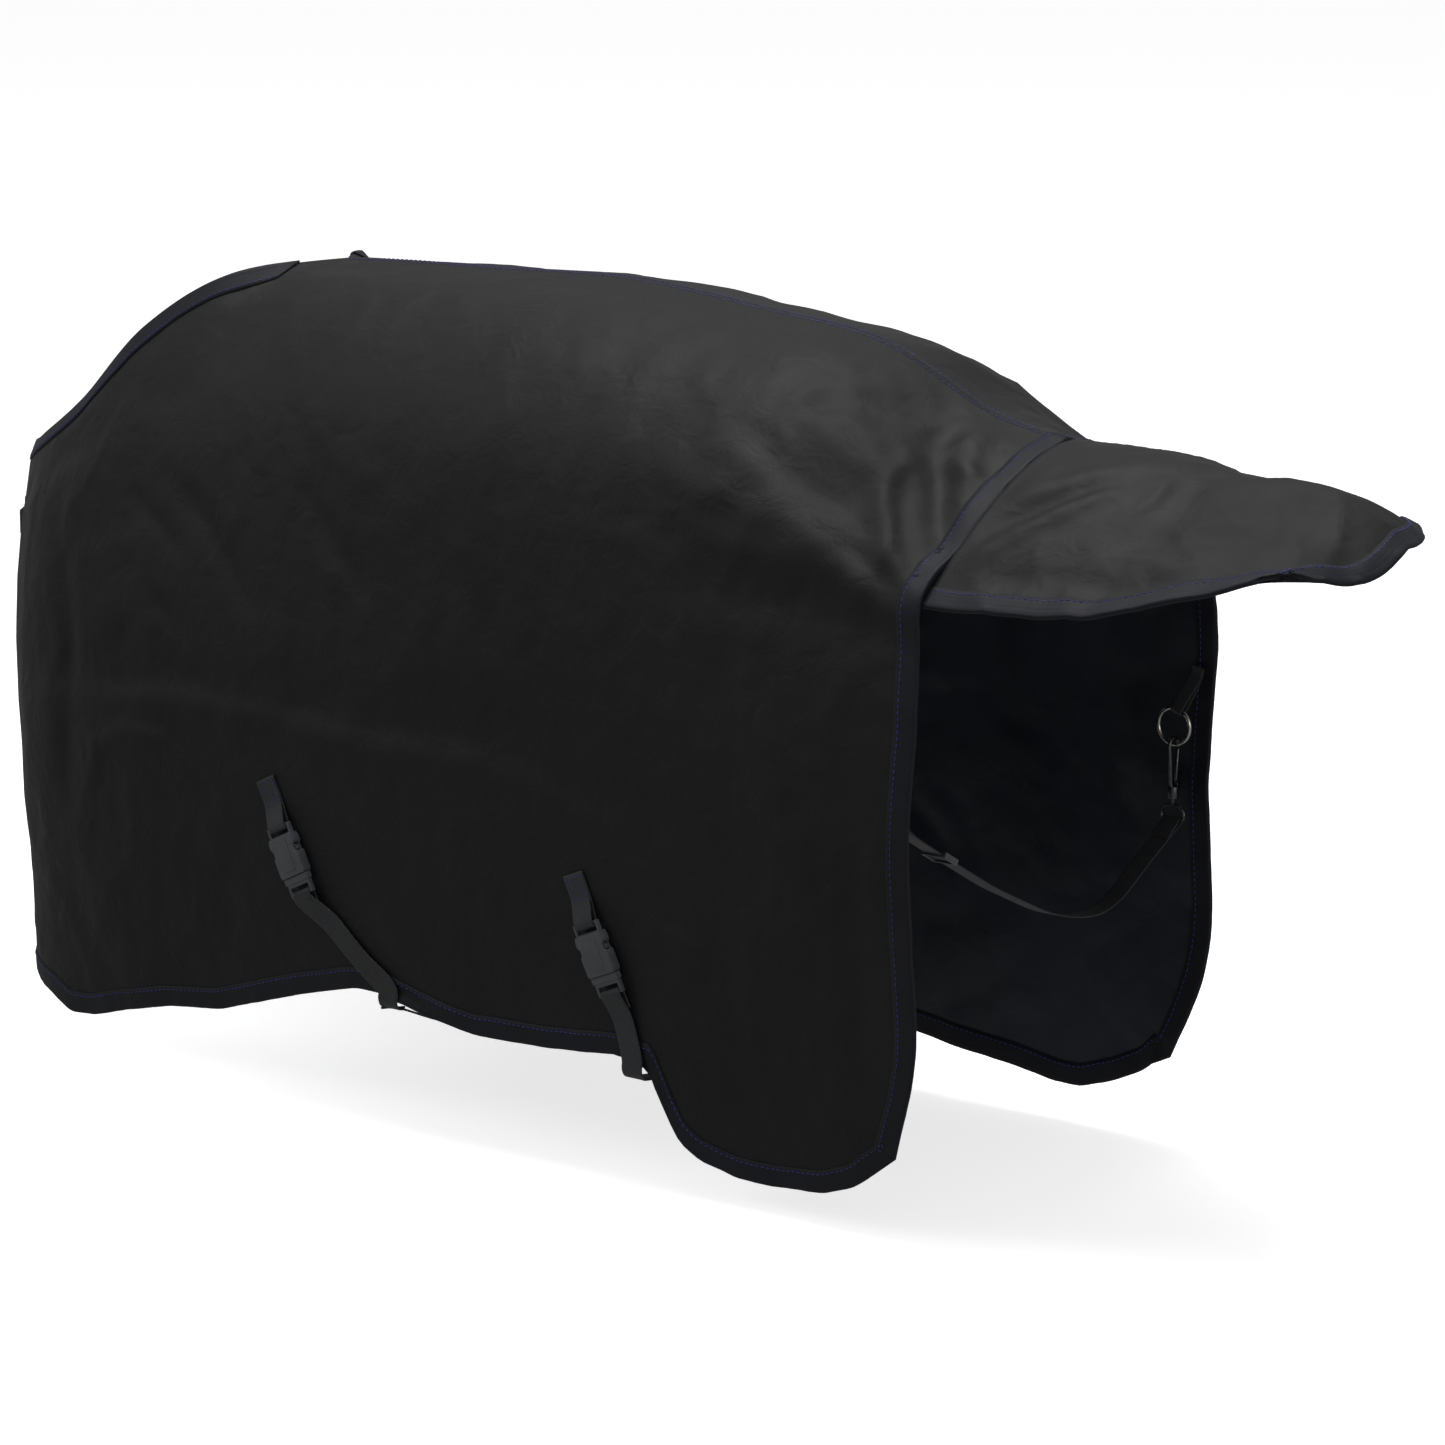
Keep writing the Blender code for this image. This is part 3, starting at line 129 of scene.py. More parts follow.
# Height of the hem against x
HEM_LEFT = [(0.0, 0.068), (-0.035, 0.068), (-0.062, 0.046), (-0.091, 0.026), (-0.131, 0.012),
            (-0.20, 0.006), (-0.254, 0.007), (-0.301, 0.018), (-0.330, 0.036), (-0.346, 0.066),
            (-0.356, 0.096), (-0.374, 0.117), (-0.411, 0.126), (-0.521, 0.115), (-0.628, 0.112),
            (-0.698, 0.124), (-0.763, 0.137), (-0.815, 0.137), (-0.912, 0.111), (-0.995, 0.085),
            (-1.05, 0.067), (-1.143, 0.055), (-1.218, 0.037), (-1.278, 0.019), (-1.323, 0.014),
            (-1.37, 0.028), (-1.43, 0.034), (-1.51, 0.034)]
HEM_RIGHT = [(0.0, 0.075), (-0.045, 0.072), (-0.071, 0.050), (-0.109, 0.032), (-0.156, 0.017),
             (-0.194, 0.017), (-0.252, 0.026), (-0.341, 0.034), (-0.425, 0.045), (-0.50, 0.078),
             (-0.60, 0.108), (-0.698, 0.124), (-0.763, 0.132), (-0.815, 0.132), (-0.912, 0.111),
             (-0.995, 0.085), (-1.05, 0.067), (-1.143, 0.055), (-1.218, 0.037), (-1.278, 0.019),
             (-1.323, 0.014), (-1.37, 0.028), (-1.43, 0.034), (-1.51, 0.034)]

# Height of the flap along its middle, and how far its edges fall below that
FLAP_CROWN = [(0.0, 0.8335), (0.05, 0.8325), (0.13, 0.831), (0.17, 0.827), (0.20, 0.819),
              (0.29, 0.817), (0.37, 0.809), (0.40, 0.799), (0.425, 0.783), (0.45, 0.762)]
FLAP_DROP = [(0.0, 0.143), (0.15, 0.138), (0.25, 0.115), (0.33, 0.096), (0.39, 0.073), (0.45, 0.055)]


class Side(Enum):
    """The two halves of the rug."""

    LEFT = -1
    RIGHT = 1

    @property
    def word(self) -> str:
        """Name of the side as the pieces use it."""
        return "left" if self is Side.LEFT else "right"


class Edge(Enum):
    """The bound edges of one half."""

    REAR = "rear"
    HEM = "hem"
    FRONT = "front"


# ---------------------------------------------------------------- materials


def linear(code: str) -> tuple[float, float, float, float]:
    """Turns an sRGB hex colour into linear light.

    Args:
        code: colour such as "#1d1e20".

    Returns:
        Linear red, green and blue, with alpha 1.
    """
    parts = [int(code[k : k + 2], 16) / 255 for k in (1, 3, 5)]
    out = [c / 12.92 if c <= 0.04045 else ((c + 0.055) / 1.055) ** 2.4 for c in parts]
    return out[0], out[1], out[2], 1.0


def add_node(
    tree: bpy.types.NodeTree,
    kind: str,
    settings: dict[Any, Any] | None = None,
    links: dict[Any, bpy.types.NodeSocket] | None = None,
) -> bpy.types.Node:
    """Adds one node with its settings and its incoming links.

    Args:
        tree: node tree it goes into.
        kind: Blender's node type name.
        settings: node attributes, or input sockets by name or number, with their values.
        links: input sockets by name or number, with the output that feeds each.

    Returns:
        The new node.
    """
    node = tree.nodes.new(kind)
    for key, value in (settings or {}).items():
        if isinstance(key, str) and hasattr(node, key):
            setattr(node, key, value)
        else:
            node.inputs[key].default_value = value
    for key, source in (links or {}).items():
        tree.links.new(source, node.inputs[key])
    return node


def wave_scale(pitch_mm: float) -> float:
    """Wave texture scale that repeats every pitch_mm of a coordinate in metres."""
    return 2 * math.pi / (20 * pitch_mm / 1000)


def shader_of(name: str, settings: dict[str, Any]) -> tuple[bpy.types.Material, bpy.types.Node]:
    """Makes a material with a Principled shader.

    Args:
        name: material's name.
        settings: the shader's uniform socket values.

    Returns:
        The material and its shader node.
    """
    mat = bpy.data.materials.new(name)
    mat.use_nodes = True
    shader = mat.node_tree.nodes["Principled BSDF"]
    for key, value in settings.items():
        shader.inputs[key].default_value = value
    return mat, shader


@dataclass(frozen=True)
class WovenFinish:
    """A woven cloth, tape or webbing. Yarn pitches are real mm, drawn coarse enough to show."""

    name: str
    dark: str
    light: str
    roughness: float
    warp_mm: float
    weft_mm: float
    relief: float
    sheen: float = 0.0
    sheen_roughness: float = 0.5
    level: float = 0.2
    crease_mm: float = 0.0
    crease: float = 0.0

    def build(self) -> bpy.types.Material:
        """Makes the woven material: yarn bump, uneven dye and worn patches of gloss."""
        mat, shader = shader_of(
            self.name,
            {
                "Specular IOR Level": self.level,
                "Sheen Weight": self.sheen,
                "Sheen Roughness": self.sheen_roughness,
                "IOR": 1.5,
            },
        )
        tree = mat.node_tree
        coord = add_node(tree, "ShaderNodeTexCoord")
        warp = add_node(
            tree,
            "ShaderNodeTexWave",
            {"bands_direction": "X", "Scale": wave_scale(self.warp_mm), "Distortion": 0.35,
             "Detail": 1.0, "Detail Scale": 2.0},
            {"Vector": coord.outputs["UV"]},
        )
        weft = add_node(
            tree,
            "ShaderNodeTexWave",
            {"bands_direction": "Y", "Scale": wave_scale(self.weft_mm), "Distortion": 0.35,
             "Detail": 1.0, "Detail Scale": 2.0},
            {"Vector": coord.outputs["UV"]},
        )
        yarn = add_node(
            tree,
            "ShaderNodeMath",
            {"operation": "MULTIPLY"},
            {0: warp.outputs["Fac"], 1: weft.outputs["Fac"]},
        )
        dye = add_node(
            tree, "ShaderNodeTexNoise", {"Scale": 5.0, "Detail": 5.0, "Roughness": 0.62},
            {"Vector": coord.outputs["Object"]},
        )
        fleck = add_node(
            tree, "ShaderNodeTexNoise", {"Scale": 420.0, "Detail": 2.0},
            {"Vector": coord.outputs["Object"]},
        )
        mixed = add_node(
            tree,
            "ShaderNodeMath",
            {"operation": "MULTIPLY_ADD", 1: 0.55},
            {0: fleck.outputs["Fac"], 2: dye.outputs["Fac"]},
        )
        ramp = add_node(tree, "ShaderNodeMapRange", {1: 0.55, 2: 1.05}, {0: mixed.outputs[0]})
        shade = add_node(
            tree,
            "ShaderNodeMix",
            {"data_type": "RGBA"},
            {0: ramp.outputs[0]},
        )
        shade.inputs[6].default_value = linear(self.dark)
        shade.inputs[7].default_value = linear(self.light)
        tree.links.new(shade.outputs[2], shader.inputs["Base Color"])
        wear = add_node(
            tree,
            "ShaderNodeMapRange",
            {1: 0.3, 2: 0.7, 3: self.roughness - 0.06, 4: self.roughness + 0.08},
            {0: dye.outputs["Fac"]},
        )
        tree.links.new(wear.outputs[0], shader.inputs["Roughness"])
        height = yarn.outputs[0]
        if self.crease:
            ruck = add_node(
                tree,
                "ShaderNodeTexNoise",
                {"Scale": 1000 / self.crease_mm, "Detail": 3.0, "Roughness": 0.5,
                 "Distortion": 0.6},
                {"Vector": coord.outputs["Object"]},
            )
            soft = add_node(
                tree,
                "ShaderNodeBump",
                {"Strength": self.crease, "Distance": 0.004},
                {"Height": ruck.outputs["Fac"]},
            )
            bump = add_node(
                tree,
                "ShaderNodeBump",
                {"Strength": self.relief, "Distance": 0.0004},
                {"Height": height, "Normal": soft.outputs[0]},
            )
        else:
            bump = add_node(
                tree,
                "ShaderNodeBump",
                {"Strength": self.relief, "Distance": 0.0004},
                {"Height": height},
            )
        tree.links.new(bump.outputs[0], shader.inputs["Normal"])
        return mat


@dataclass(frozen=True)
class MouldedFinish:
    """Injection-moulded acetal or nylon: fine spark-eroded grain, glossier where rubbed."""

    name: str
    dark: str
    light: str
    roughness: float
    grain_mm: float = 0.7

    def build(self) -> bpy.types.Material:
        """Makes the moulded plastic."""
        mat, shader = shader_of(self.name, {"IOR": 1.48, "Specular IOR Level": 0.42})
        tree = mat.node_tree
        coord = add_node(tree, "ShaderNodeTexCoord")
        grain = add_node(
            tree, "ShaderNodeTexNoise", {"Scale": 1000 / self.grain_mm, "Detail": 3.0},
            {"Vector": coord.outputs["Object"]},
        )
        cloud = add_node(
            tree, "ShaderNodeTexNoise", {"Scale": 60.0, "Detail": 3.0},
            {"Vector": coord.outputs["Object"]},
        )
        shade = add_node(tree, "ShaderNodeMix", {"data_type": "RGBA"}, {0: cloud.outputs["Fac"]})
        shade.inputs[6].default_value = linear(self.dark)
        shade.inputs[7].default_value = linear(self.light)
        tree.links.new(shade.outputs[2], shader.inputs["Base Color"])
        rub = add_node(
            tree,
            "ShaderNodeMapRange",
            {1: 0.3, 2: 0.7, 3: self.roughness - 0.08, 4: self.roughness + 0.08},
            {0: cloud.outputs["Fac"]},
        )
        tree.links.new(rub.outputs[0], shader.inputs["Roughness"])
        bump = add_node(
            tree,
            "ShaderNodeBump",
            {"Strength": 0.25, "Distance": 0.0001},
            {"Height": grain.outputs["Fac"]},
        )
        tree.links.new(bump.outputs[0], shader.inputs["Normal"])
        return mat


@dataclass(frozen=True)
class PlatedFinish:
    """Nickel plate on cast zinc or steel wire: bright, with fine handling scratches."""

    name: str
    bright: str
    dull: str
    roughness: float

    def build(self) -> bpy.types.Material:
        """Makes the plated metal."""
        mat, shader = shader_of(self.name, {"Metallic": 1.0})
        tree = mat.node_tree
        coord = add_node(tree, "ShaderNodeTexCoord")
        cloud = add_node(
            tree, "ShaderNodeTexNoise", {"Scale": 180.0, "Detail": 4.0},
            {"Vector": coord.outputs["Object"]},
        )
        shade = add_node(tree, "ShaderNodeMix", {"data_type": "RGBA"}, {0: cloud.outputs["Fac"]})
        shade.inputs[6].default_value = linear(self.bright)
        shade.inputs[7].default_value = linear(self.dull)
        tree.links.new(shade.outputs[2], shader.inputs["Base Color"])
        rub = add_node(
            tree,
            "ShaderNodeMapRange",
            {1: 0.35, 2: 0.7, 3: self.roughness - 0.05, 4: self.roughness + 0.14},
            {0: cloud.outputs["Fac"]},
        )
        tree.links.new(rub.outputs[0], shader.inputs["Roughness"])
        scratch = add_node(
            tree, "ShaderNodeTexNoise", {"Scale": 900.0, "Detail": 2.0, "Distortion": 2.0},
            {"Vector": coord.outputs["Object"]},
        )
        bump = add_node(
            tree,
            "ShaderNodeBump",
            {"Strength": 0.06, "Distance": 0.0001},
            {"Height": scratch.outputs["Fac"]},
        )
        tree.links.new(bump.outputs[0], shader.inputs["Normal"])
        return mat


class Finishes:
    """Every material of the rug, made once and handed out by slot name."""

    def __init__(self) -> None:
        """Makes the materials."""
        recipes = {
            # Coated polyester plain weave: matt black, a faint grey bloom in grazing light
            "outer_cloth": WovenFinish(
                "coated_polyester_weave", "#141415", "#1f1f21", 0.62, 1.7, 1.7, 0.20,
                sheen=0.04, sheen_roughness=0.40, level=0.26, crease_mm=34.0, crease=0.55),
            # Smooth nylon taffeta lining: blue-black, a little slicker than the outer cloth
            "lining_cloth": WovenFinish(
                "nylon_taffeta", "#181b23", "#242934", 0.50, 1.4, 1.4, 0.10,
                level=0.42, crease_mm=60.0, crease=0.5),
            # Polyester grosgrain tape, ribbed across, blue-black
            "binding_tape": WovenFinish(
                "polyester_grosgrain", "#13141a", "#1e2029", 0.60, 6.0, 1.6, 0.35,
                sheen=0.02, level=0.24),
            # Polypropylene webbing, coarse ribs along, dark grey with a dry sheen
            "webbing": WovenFinish(
                "polypropylene_webbing", "#1d1e20", "#37393c", 0.50, 2.1, 1.5, 0.75,
                sheen=0.05, level=0.40),
            # Bonded polyester thread, violet-blue
            "thread": WovenFinish(
                "bonded_polyester_thread", "#2b2d66", "#4447a0", 0.50, 0.8, 0.8, 0.2, level=0.35),
            # Acetal, moulded, dark grey
            "buckle_plastic": MouldedFinish("moulded_acetal", "#45494c", "#575b5f", 0.38),
            # Nickel plate, warm silver
            "nickel_plate": PlatedFinish("nickel_plate", "#d8d6cc", "#a5a39a", 0.20),
            # Plate on the cast hook, coloured darker than the ring's nickel: dark grey, half bright
            "darker_hook_plate": PlatedFinish("darker_hook_plate", "#6d6f70", "#3f4143", 0.30),
        }
        self._made = {slot: recipe.build() for slot, recipe in recipes.items()}

    def dress(self, obj: bpy.types.Object, slot: str) -> bpy.types.Object:
        """Puts a slot's material on a piece.

        Args:
            obj: the piece.
            slot: a material slot, or "thread".

        Returns:
            The same piece.
        """
        obj.data.materials.clear()
        obj.data.materials.append(self._made[slot])
        return obj


# ---------------------------------------------------------------- mesh helpers


def curve_through(rows: np.ndarray, t: float) -> np.ndarray:
    """Smooth curve through rows of numbers.

    Args:
        rows: control rows, the first axis running along the curve.
        t: place as a float row number.

    Returns:
        The interpolated row.
    """
    i = min(int(t), len(rows) - 2)
    u = t - i
    a, b, c = rows[max(i - 1, 0)], rows[i], rows[i + 1]
    d = rows[min(i + 2, len(rows) - 1)]
    return 0.5 * (2 * b + (c - a) * u + (2 * a - 5 * b + 4 * c - d) * u * u
                  + (3 * b - a - 3 * c + d) * u**3)


def smooth_step(value: np.ndarray | float, low: float, high: float) -> np.ndarray | float:
    """0 below low, 1 above high and a soft curve between."""
    u = np.clip((value - low) / (high - low), 0, 1)
    return u * u * (3 - 2 * u)


def soft_noise(points: np.ndarray, size: float, seed: float, octaves: int = 2) -> np.ndarray:
    """Smooth noise at points.

    Args:
        points: (n, 3) places in metres.
        size: size of one lump, in metres.
        seed: shift that makes one noise differ from another.
        octaves: layers of finer noise added.

    Returns:
        (n,) values from about -1 to 1.
    """
    out = np.empty(len(points))
    for k, p in enumerate(points):
        q = Vector((p[0] / size + seed, p[1] / size - seed, p[2] / size + 2 * seed))
        out[k] = noise.fractal(q, 1.0, 2.1, octaves)
    return out


def crumple(points: np.ndarray, size: float, seed: float) -> np.ndarray:
    """Sharp-ridged creases, as crumpled cloth has.

    Args:
        points: (n, 3) places in metres.
        size: distance between ridges, in metres.
        seed: shift that makes one pattern differ from another.

    Returns:
        (n,) values from 0 in the hollows to about 1 on the ridges.
    """
    bent = points + 0.35 * size * np.stack(
        [soft_noise(points, size * 1.7, seed + k, 1) for k in (1.0, 2.0, 3.0)], axis=1)
    return (1 - np.minimum(np.abs(soft_noise(bent, size, seed, 1)) * 2.2, 1)) ** 2


def make_object(
    name: str, verts: np.ndarray, faces: list[tuple[int, ...]], uv: np.ndarray | None = None
) -> bpy.types.Object:
    """Makes a smooth-shaded mesh object, moving it from the layout to the row frame.

    Args:
        name: object's name.
        verts: (n, 3) points in the layout.
        faces: faces as vertex numbers.
        uv: (n, 2) cloth coordinates in metres, for the weave.

    Returns:
        The new object.
    """
    mesh = bpy.data.meshes.new(name)
    shifted = np.asarray(verts, float) - np.array(ORIGIN)
    mesh.from_pydata([tuple(v) for v in shifted], [], faces)
    if uv is not None:
        layer = mesh.uv_layers.new(name="cloth")
        loops = np.empty(len(mesh.loops), np.int32)
        mesh.loops.foreach_get("vertex_index", loops)
        layer.data.foreach_set("uv", np.asarray(uv, float)[loops].astype(np.float32).ravel())
    mesh.polygons.foreach_set("use_smooth", [True] * len(mesh.polygons))
    mesh.update()
    obj = bpy.data.objects.new(name, mesh)
    bpy.context.scene.collection.objects.link(obj)
    return obj


def grid_normals(grid: np.ndarray, outward: Callable[[np.ndarray], np.ndarray]) -> np.ndarray:
    """Unit normals of a grid of points.

    Args:
        grid: (columns, rows, 3) points.
        outward: gives, for the points, a direction that the normals have to agree with.

    Returns:
        Normals of the same shape.
    """
    du = np.gradient(grid, axis=0)
    dv = np.gradient(grid, axis=1)
    n = np.cross(du, dv)
    n /= np.maximum(np.linalg.norm(n, axis=2, keepdims=True), 1e-12)
    turn = np.sign((n * outward(grid)).sum(axis=2, keepdims=True))
    return n * np.where(turn == 0, 1, turn)


def upwards(grid: np.ndarray) -> np.ndarray:
    """Straight up, for each point of a grid.

    Args:
        grid: the grid.

    Returns:
        An array of the grid's shape.
    """
    return np.broadcast_to(np.array([0.0, 0.0, 1.0]), grid.shape)


def shell(
    name: str, grid: np.ndarray, normals: np.ndarray, low: float, high: float
) -> bpy.types.Object:
    """A closed cloth layer between two offsets from a grid.

    Args:
        name: object's name.
        grid: (columns, rows, 3) points.
        normals: the grid's normals.
        low: lower offset in metres.
        high: upper offset in metres.

    Returns:
        The cloth as an object with cloth coordinates.
    """
    cols, rows = grid.shape[:2]
    verts = np.concatenate([(grid + normals * off).reshape(-1, 3) for off in (low, high)])
    size = cols * rows
    faces: list[tuple[int, ...]] = []
    for i in range(cols - 1):
        for j in range(rows - 1):
            a, b = i * rows + j, (i + 1) * rows + j
            faces.append((a, b, b + 1, a + 1))
            faces.append((size + a + 1, size + b + 1, size + b, size + a))
    rim = [i * rows for i in range(cols)] + [(cols - 1) * rows + j for j in range(1, rows)]
    rim += [i * rows + rows - 1 for i in range(cols - 2, -1, -1)]
    rim += [j for j in range(rows - 2, 0, -1)]
    for p, q in zip(rim, rim[1:] + rim[:1]):
        faces.append((q, p, size + p, size + q))
    step_u = np.linalg.norm(np.diff(grid[:, rows // 2], axis=0), axis=1)
    along_u = np.concatenate([[0], np.cumsum(step_u)])
    step_v = np.linalg.norm(np.diff(grid, axis=1), axis=2)
    along_v = np.concatenate([np.zeros((cols, 1)), np.cumsum(step_v, axis=1)], axis=1)
    uv = np.stack([np.repeat(along_u[:, None], rows, 1), along_v], axis=2).reshape(-1, 2)
    obj = make_object(name, verts, faces, np.concatenate([uv, uv]))
    bm = bmesh.new()
    bm.from_mesh(obj.data)
    bmesh.ops.recalc_face_normals(bm, faces=bm.faces[:])
    bm.to_mesh(obj.data)
    bm.free()
    return obj


def swept(
    name: str, rings: np.ndarray, uv_across: Sequence[float], closed: bool = False
) -> bpy.types.Object:
    """A closed body through rings of points.

    Args:
        name: object's name.
        rings: (stations, points, 3) places.
        uv_across: cloth coordinate of each ring point.
        closed: whether the last ring joins the first.

    Returns:
        The body as an object, capped at its ends unless closed.
    """
    count, n = rings.shape[:2]
    verts = rings.reshape(-1, 3)
    centre = rings.mean(axis=1)
    step = np.linalg.norm(np.diff(centre, axis=0), axis=1)
    run = np.concatenate([[0], np.cumsum(step)])
    uv = np.stack([np.tile(uv_across, (count, 1)), np.repeat(run[:, None], n, 1)], 2)
    faces: list[tuple[int, ...]] = []
    for k in range(count if closed else count - 1):
        nxt = (k + 1) % count
        for m in range(n):
            q = (m + 1) % n
            faces.append((k * n + m, k * n + q, nxt * n + q, nxt * n + m))
    if not closed:
        faces.append(tuple(range(n - 1, -1, -1)))
        faces.append(tuple((count - 1) * n + m for m in range(n)))
    obj = make_object(name, verts, faces, uv.reshape(-1, 2))
    bm = bmesh.new()
    bm.from_mesh(obj.data)
    bmesh.ops.recalc_face_normals(bm, faces=bm.faces[:])
    bm.to_mesh(obj.data)
    bm.free()
    return obj


def stitched(
    name: str,
    path: np.ndarray,
    normals: np.ndarray,
    length: float = 0.0050,
    pitch: float = 0.0072,
    thick: float = 0.0011,
) -> bpy.types.Object:
    """A row of stitches on a surface. Thread is drawn about twice its real 0.5 mm so it shows.

    Args:
        name: object's name.
        path: (n, 3) line the needle follows.
        normals: surface normals along it.
        length: length of one stitch on top.
        pitch: distance from one stitch to the next.
        thick: thread's drawn thickness.

    Returns:
        One object that holds every stitch.
    """
    step = np.linalg.norm(np.diff(path, axis=0), axis=1)
    run = np.concatenate([[0], np.cumsum(step)])
    starts = np.arange(pitch / 2, run[-1] - length, pitch)

    def at(s: np.ndarray, rows: np.ndarray) -> np.ndarray:
        return np.stack([np.interp(s, run, rows[:, k]) for k in range(3)], axis=1)

    shares = np.array([0.0, 0.22, 0.78, 1.0])
    sizes = np.array([0.35, 1.0, 1.0, 0.35])
    lifts = np.array([-0.5, 0.35, 0.35, -0.5])
    verts = []
    faces: list[tuple[int, ...]] = []
    for s in starts:
        centre = at(s + shares * length, path)
        up = at(s + shares * length, normals)
        ahead = centre[-1] - centre[0]
        ahead /= max(np.linalg.norm(ahead), 1e-9)
        across = np.cross(up, ahead)
        across /= np.maximum(np.linalg.norm(across, axis=1, keepdims=True), 1e-9)
        base = len(verts)
        for k in range(4):
            r = thick / 2 * sizes[k]
            middle = centre[k] + up[k] * (lifts[k] * thick / 2)
            for m in range(6):
                a = math.pi * m / 3
                verts.append(middle + across[k] * math.cos(a) * r + up[k] * math.sin(a) * r)
        for k in range(3):
            for m in range(6):
                q = (m + 1) % 6
                faces.append((base + k * 6 + m, base + k * 6 + q, base + k * 6 + 6 + q,
                              base + k * 6 + 6 + m))
        faces.append(tuple(base + m for m in range(5, -1, -1)))
        faces.append(tuple(base + 18 + m for m in range(6)))
    array = np.array(verts)
    return make_object(name, array, faces, array[:, :2])


# ---------------------------------------------------------------- cloth surfaces


@dataclass(frozen=True)
class Fold:
    """A crease or ledge in the cloth, drawn along a line in two of the layout's coordinates."""

    path: tuple[tuple[float, float], ...]
    height: float
    width: float
    ledge: bool = False

    def lift(self, a: np.ndarray, b: np.ndarray) -> np.ndarray:
        """Outward shift of each point.

        Args:
            a: first coordinate of the points.
            b: second coordinate of the points.

        Returns:
            Shift along the normal, in metres.
        """
        pts = np.array(self.path)
        best = np.full(a.shape, 1e9)
        signed = np.zeros(a.shape)
        share = np.zeros(a.shape)
        spans = np.linalg.norm(np.diff(pts, axis=0), axis=1)
        starts = np.concatenate([[0], np.cumsum(spans)])
        for k, (p, q) in enumerate(zip(pts, pts[1:])):
            d = q - p
            u = np.clip(((a - p[0]) * d[0] + (b - p[1]) * d[1]) / (d @ d), 0, 1)
            x, y = a - p[0] - u * d[0], b - p[1] - u * d[1]
            far = np.hypot(x, y)
            closer = far < best
            best = np.where(closer, far, best)
            signed = np.where(closer, np.sign(d[0] * y - d[1] * x) * far, signed)
            share = np.where(closer, (starts[k] + u * spans[k]) / starts[-1], share)
        taper = np.sqrt(np.clip(np.sin(math.pi * (0.06 + 0.88 * share)), 0, 1))
        if self.ledge:
            fade = np.exp(-((best / (5 * self.width)) ** 2))
            return self.height * 0.5 * np.tanh(signed / self.width) * fade * taper
        return self.height * np.exp(-((best / self.width) ** 2)) * taper


class Surface:
    """A grid of points with normals that tapes, stitches and webbing are laid on."""

    def __init__(self, grid: np.ndarray, normals: np.ndarray) -> None:
        """Keeps the grid."""
        self.grid = grid
        self.normals = normals

    def at(self, u: np.ndarray, v: np.ndarray) -> tuple[np.ndarray, np.ndarray]:
        """Points and normals at float grid places."""
        cols, rows = self.grid.shape[:2]
        u, v = np.clip(u, 0, cols - 1.0001), np.clip(v, 0, rows - 1.0001)
        i, j = u.astype(int), v.astype(int)
        fu, fv = (u - i)[:, None], (v - j)[:, None]
        out = []
        for rows_of in (self.grid, self.normals):
            top = rows_of[i, j] * (1 - fu) + rows_of[i + 1, j] * fu
            low = rows_of[i, j + 1] * (1 - fu) + rows_of[i + 1, j + 1] * fu
            out.append(top * (1 - fv) + low * fv)
        n = out[1] / np.maximum(np.linalg.norm(out[1], axis=1, keepdims=True), 1e-9)
        return out[0], n

    def inner_end(self, u: float, v: float, du: float, dv: float,
                  reach: float) -> tuple[float, float]:
        """Grid place that lies reach metres from (u, v) along a grid direction."""
        s = np.linspace(0, 40, 161)
        pts, _ = self.at(u + du * s, v + dv * s)
        far = np.concatenate([[0], np.cumsum(np.linalg.norm(np.diff(pts, axis=0), axis=1))])
        keep = np.concatenate([[True], np.diff(far) > 1e-9])
        k = float(np.interp(reach, far[keep], s[keep]))
        return u + du * k, v + dv * k


Spot = tuple[float, float, float, float]


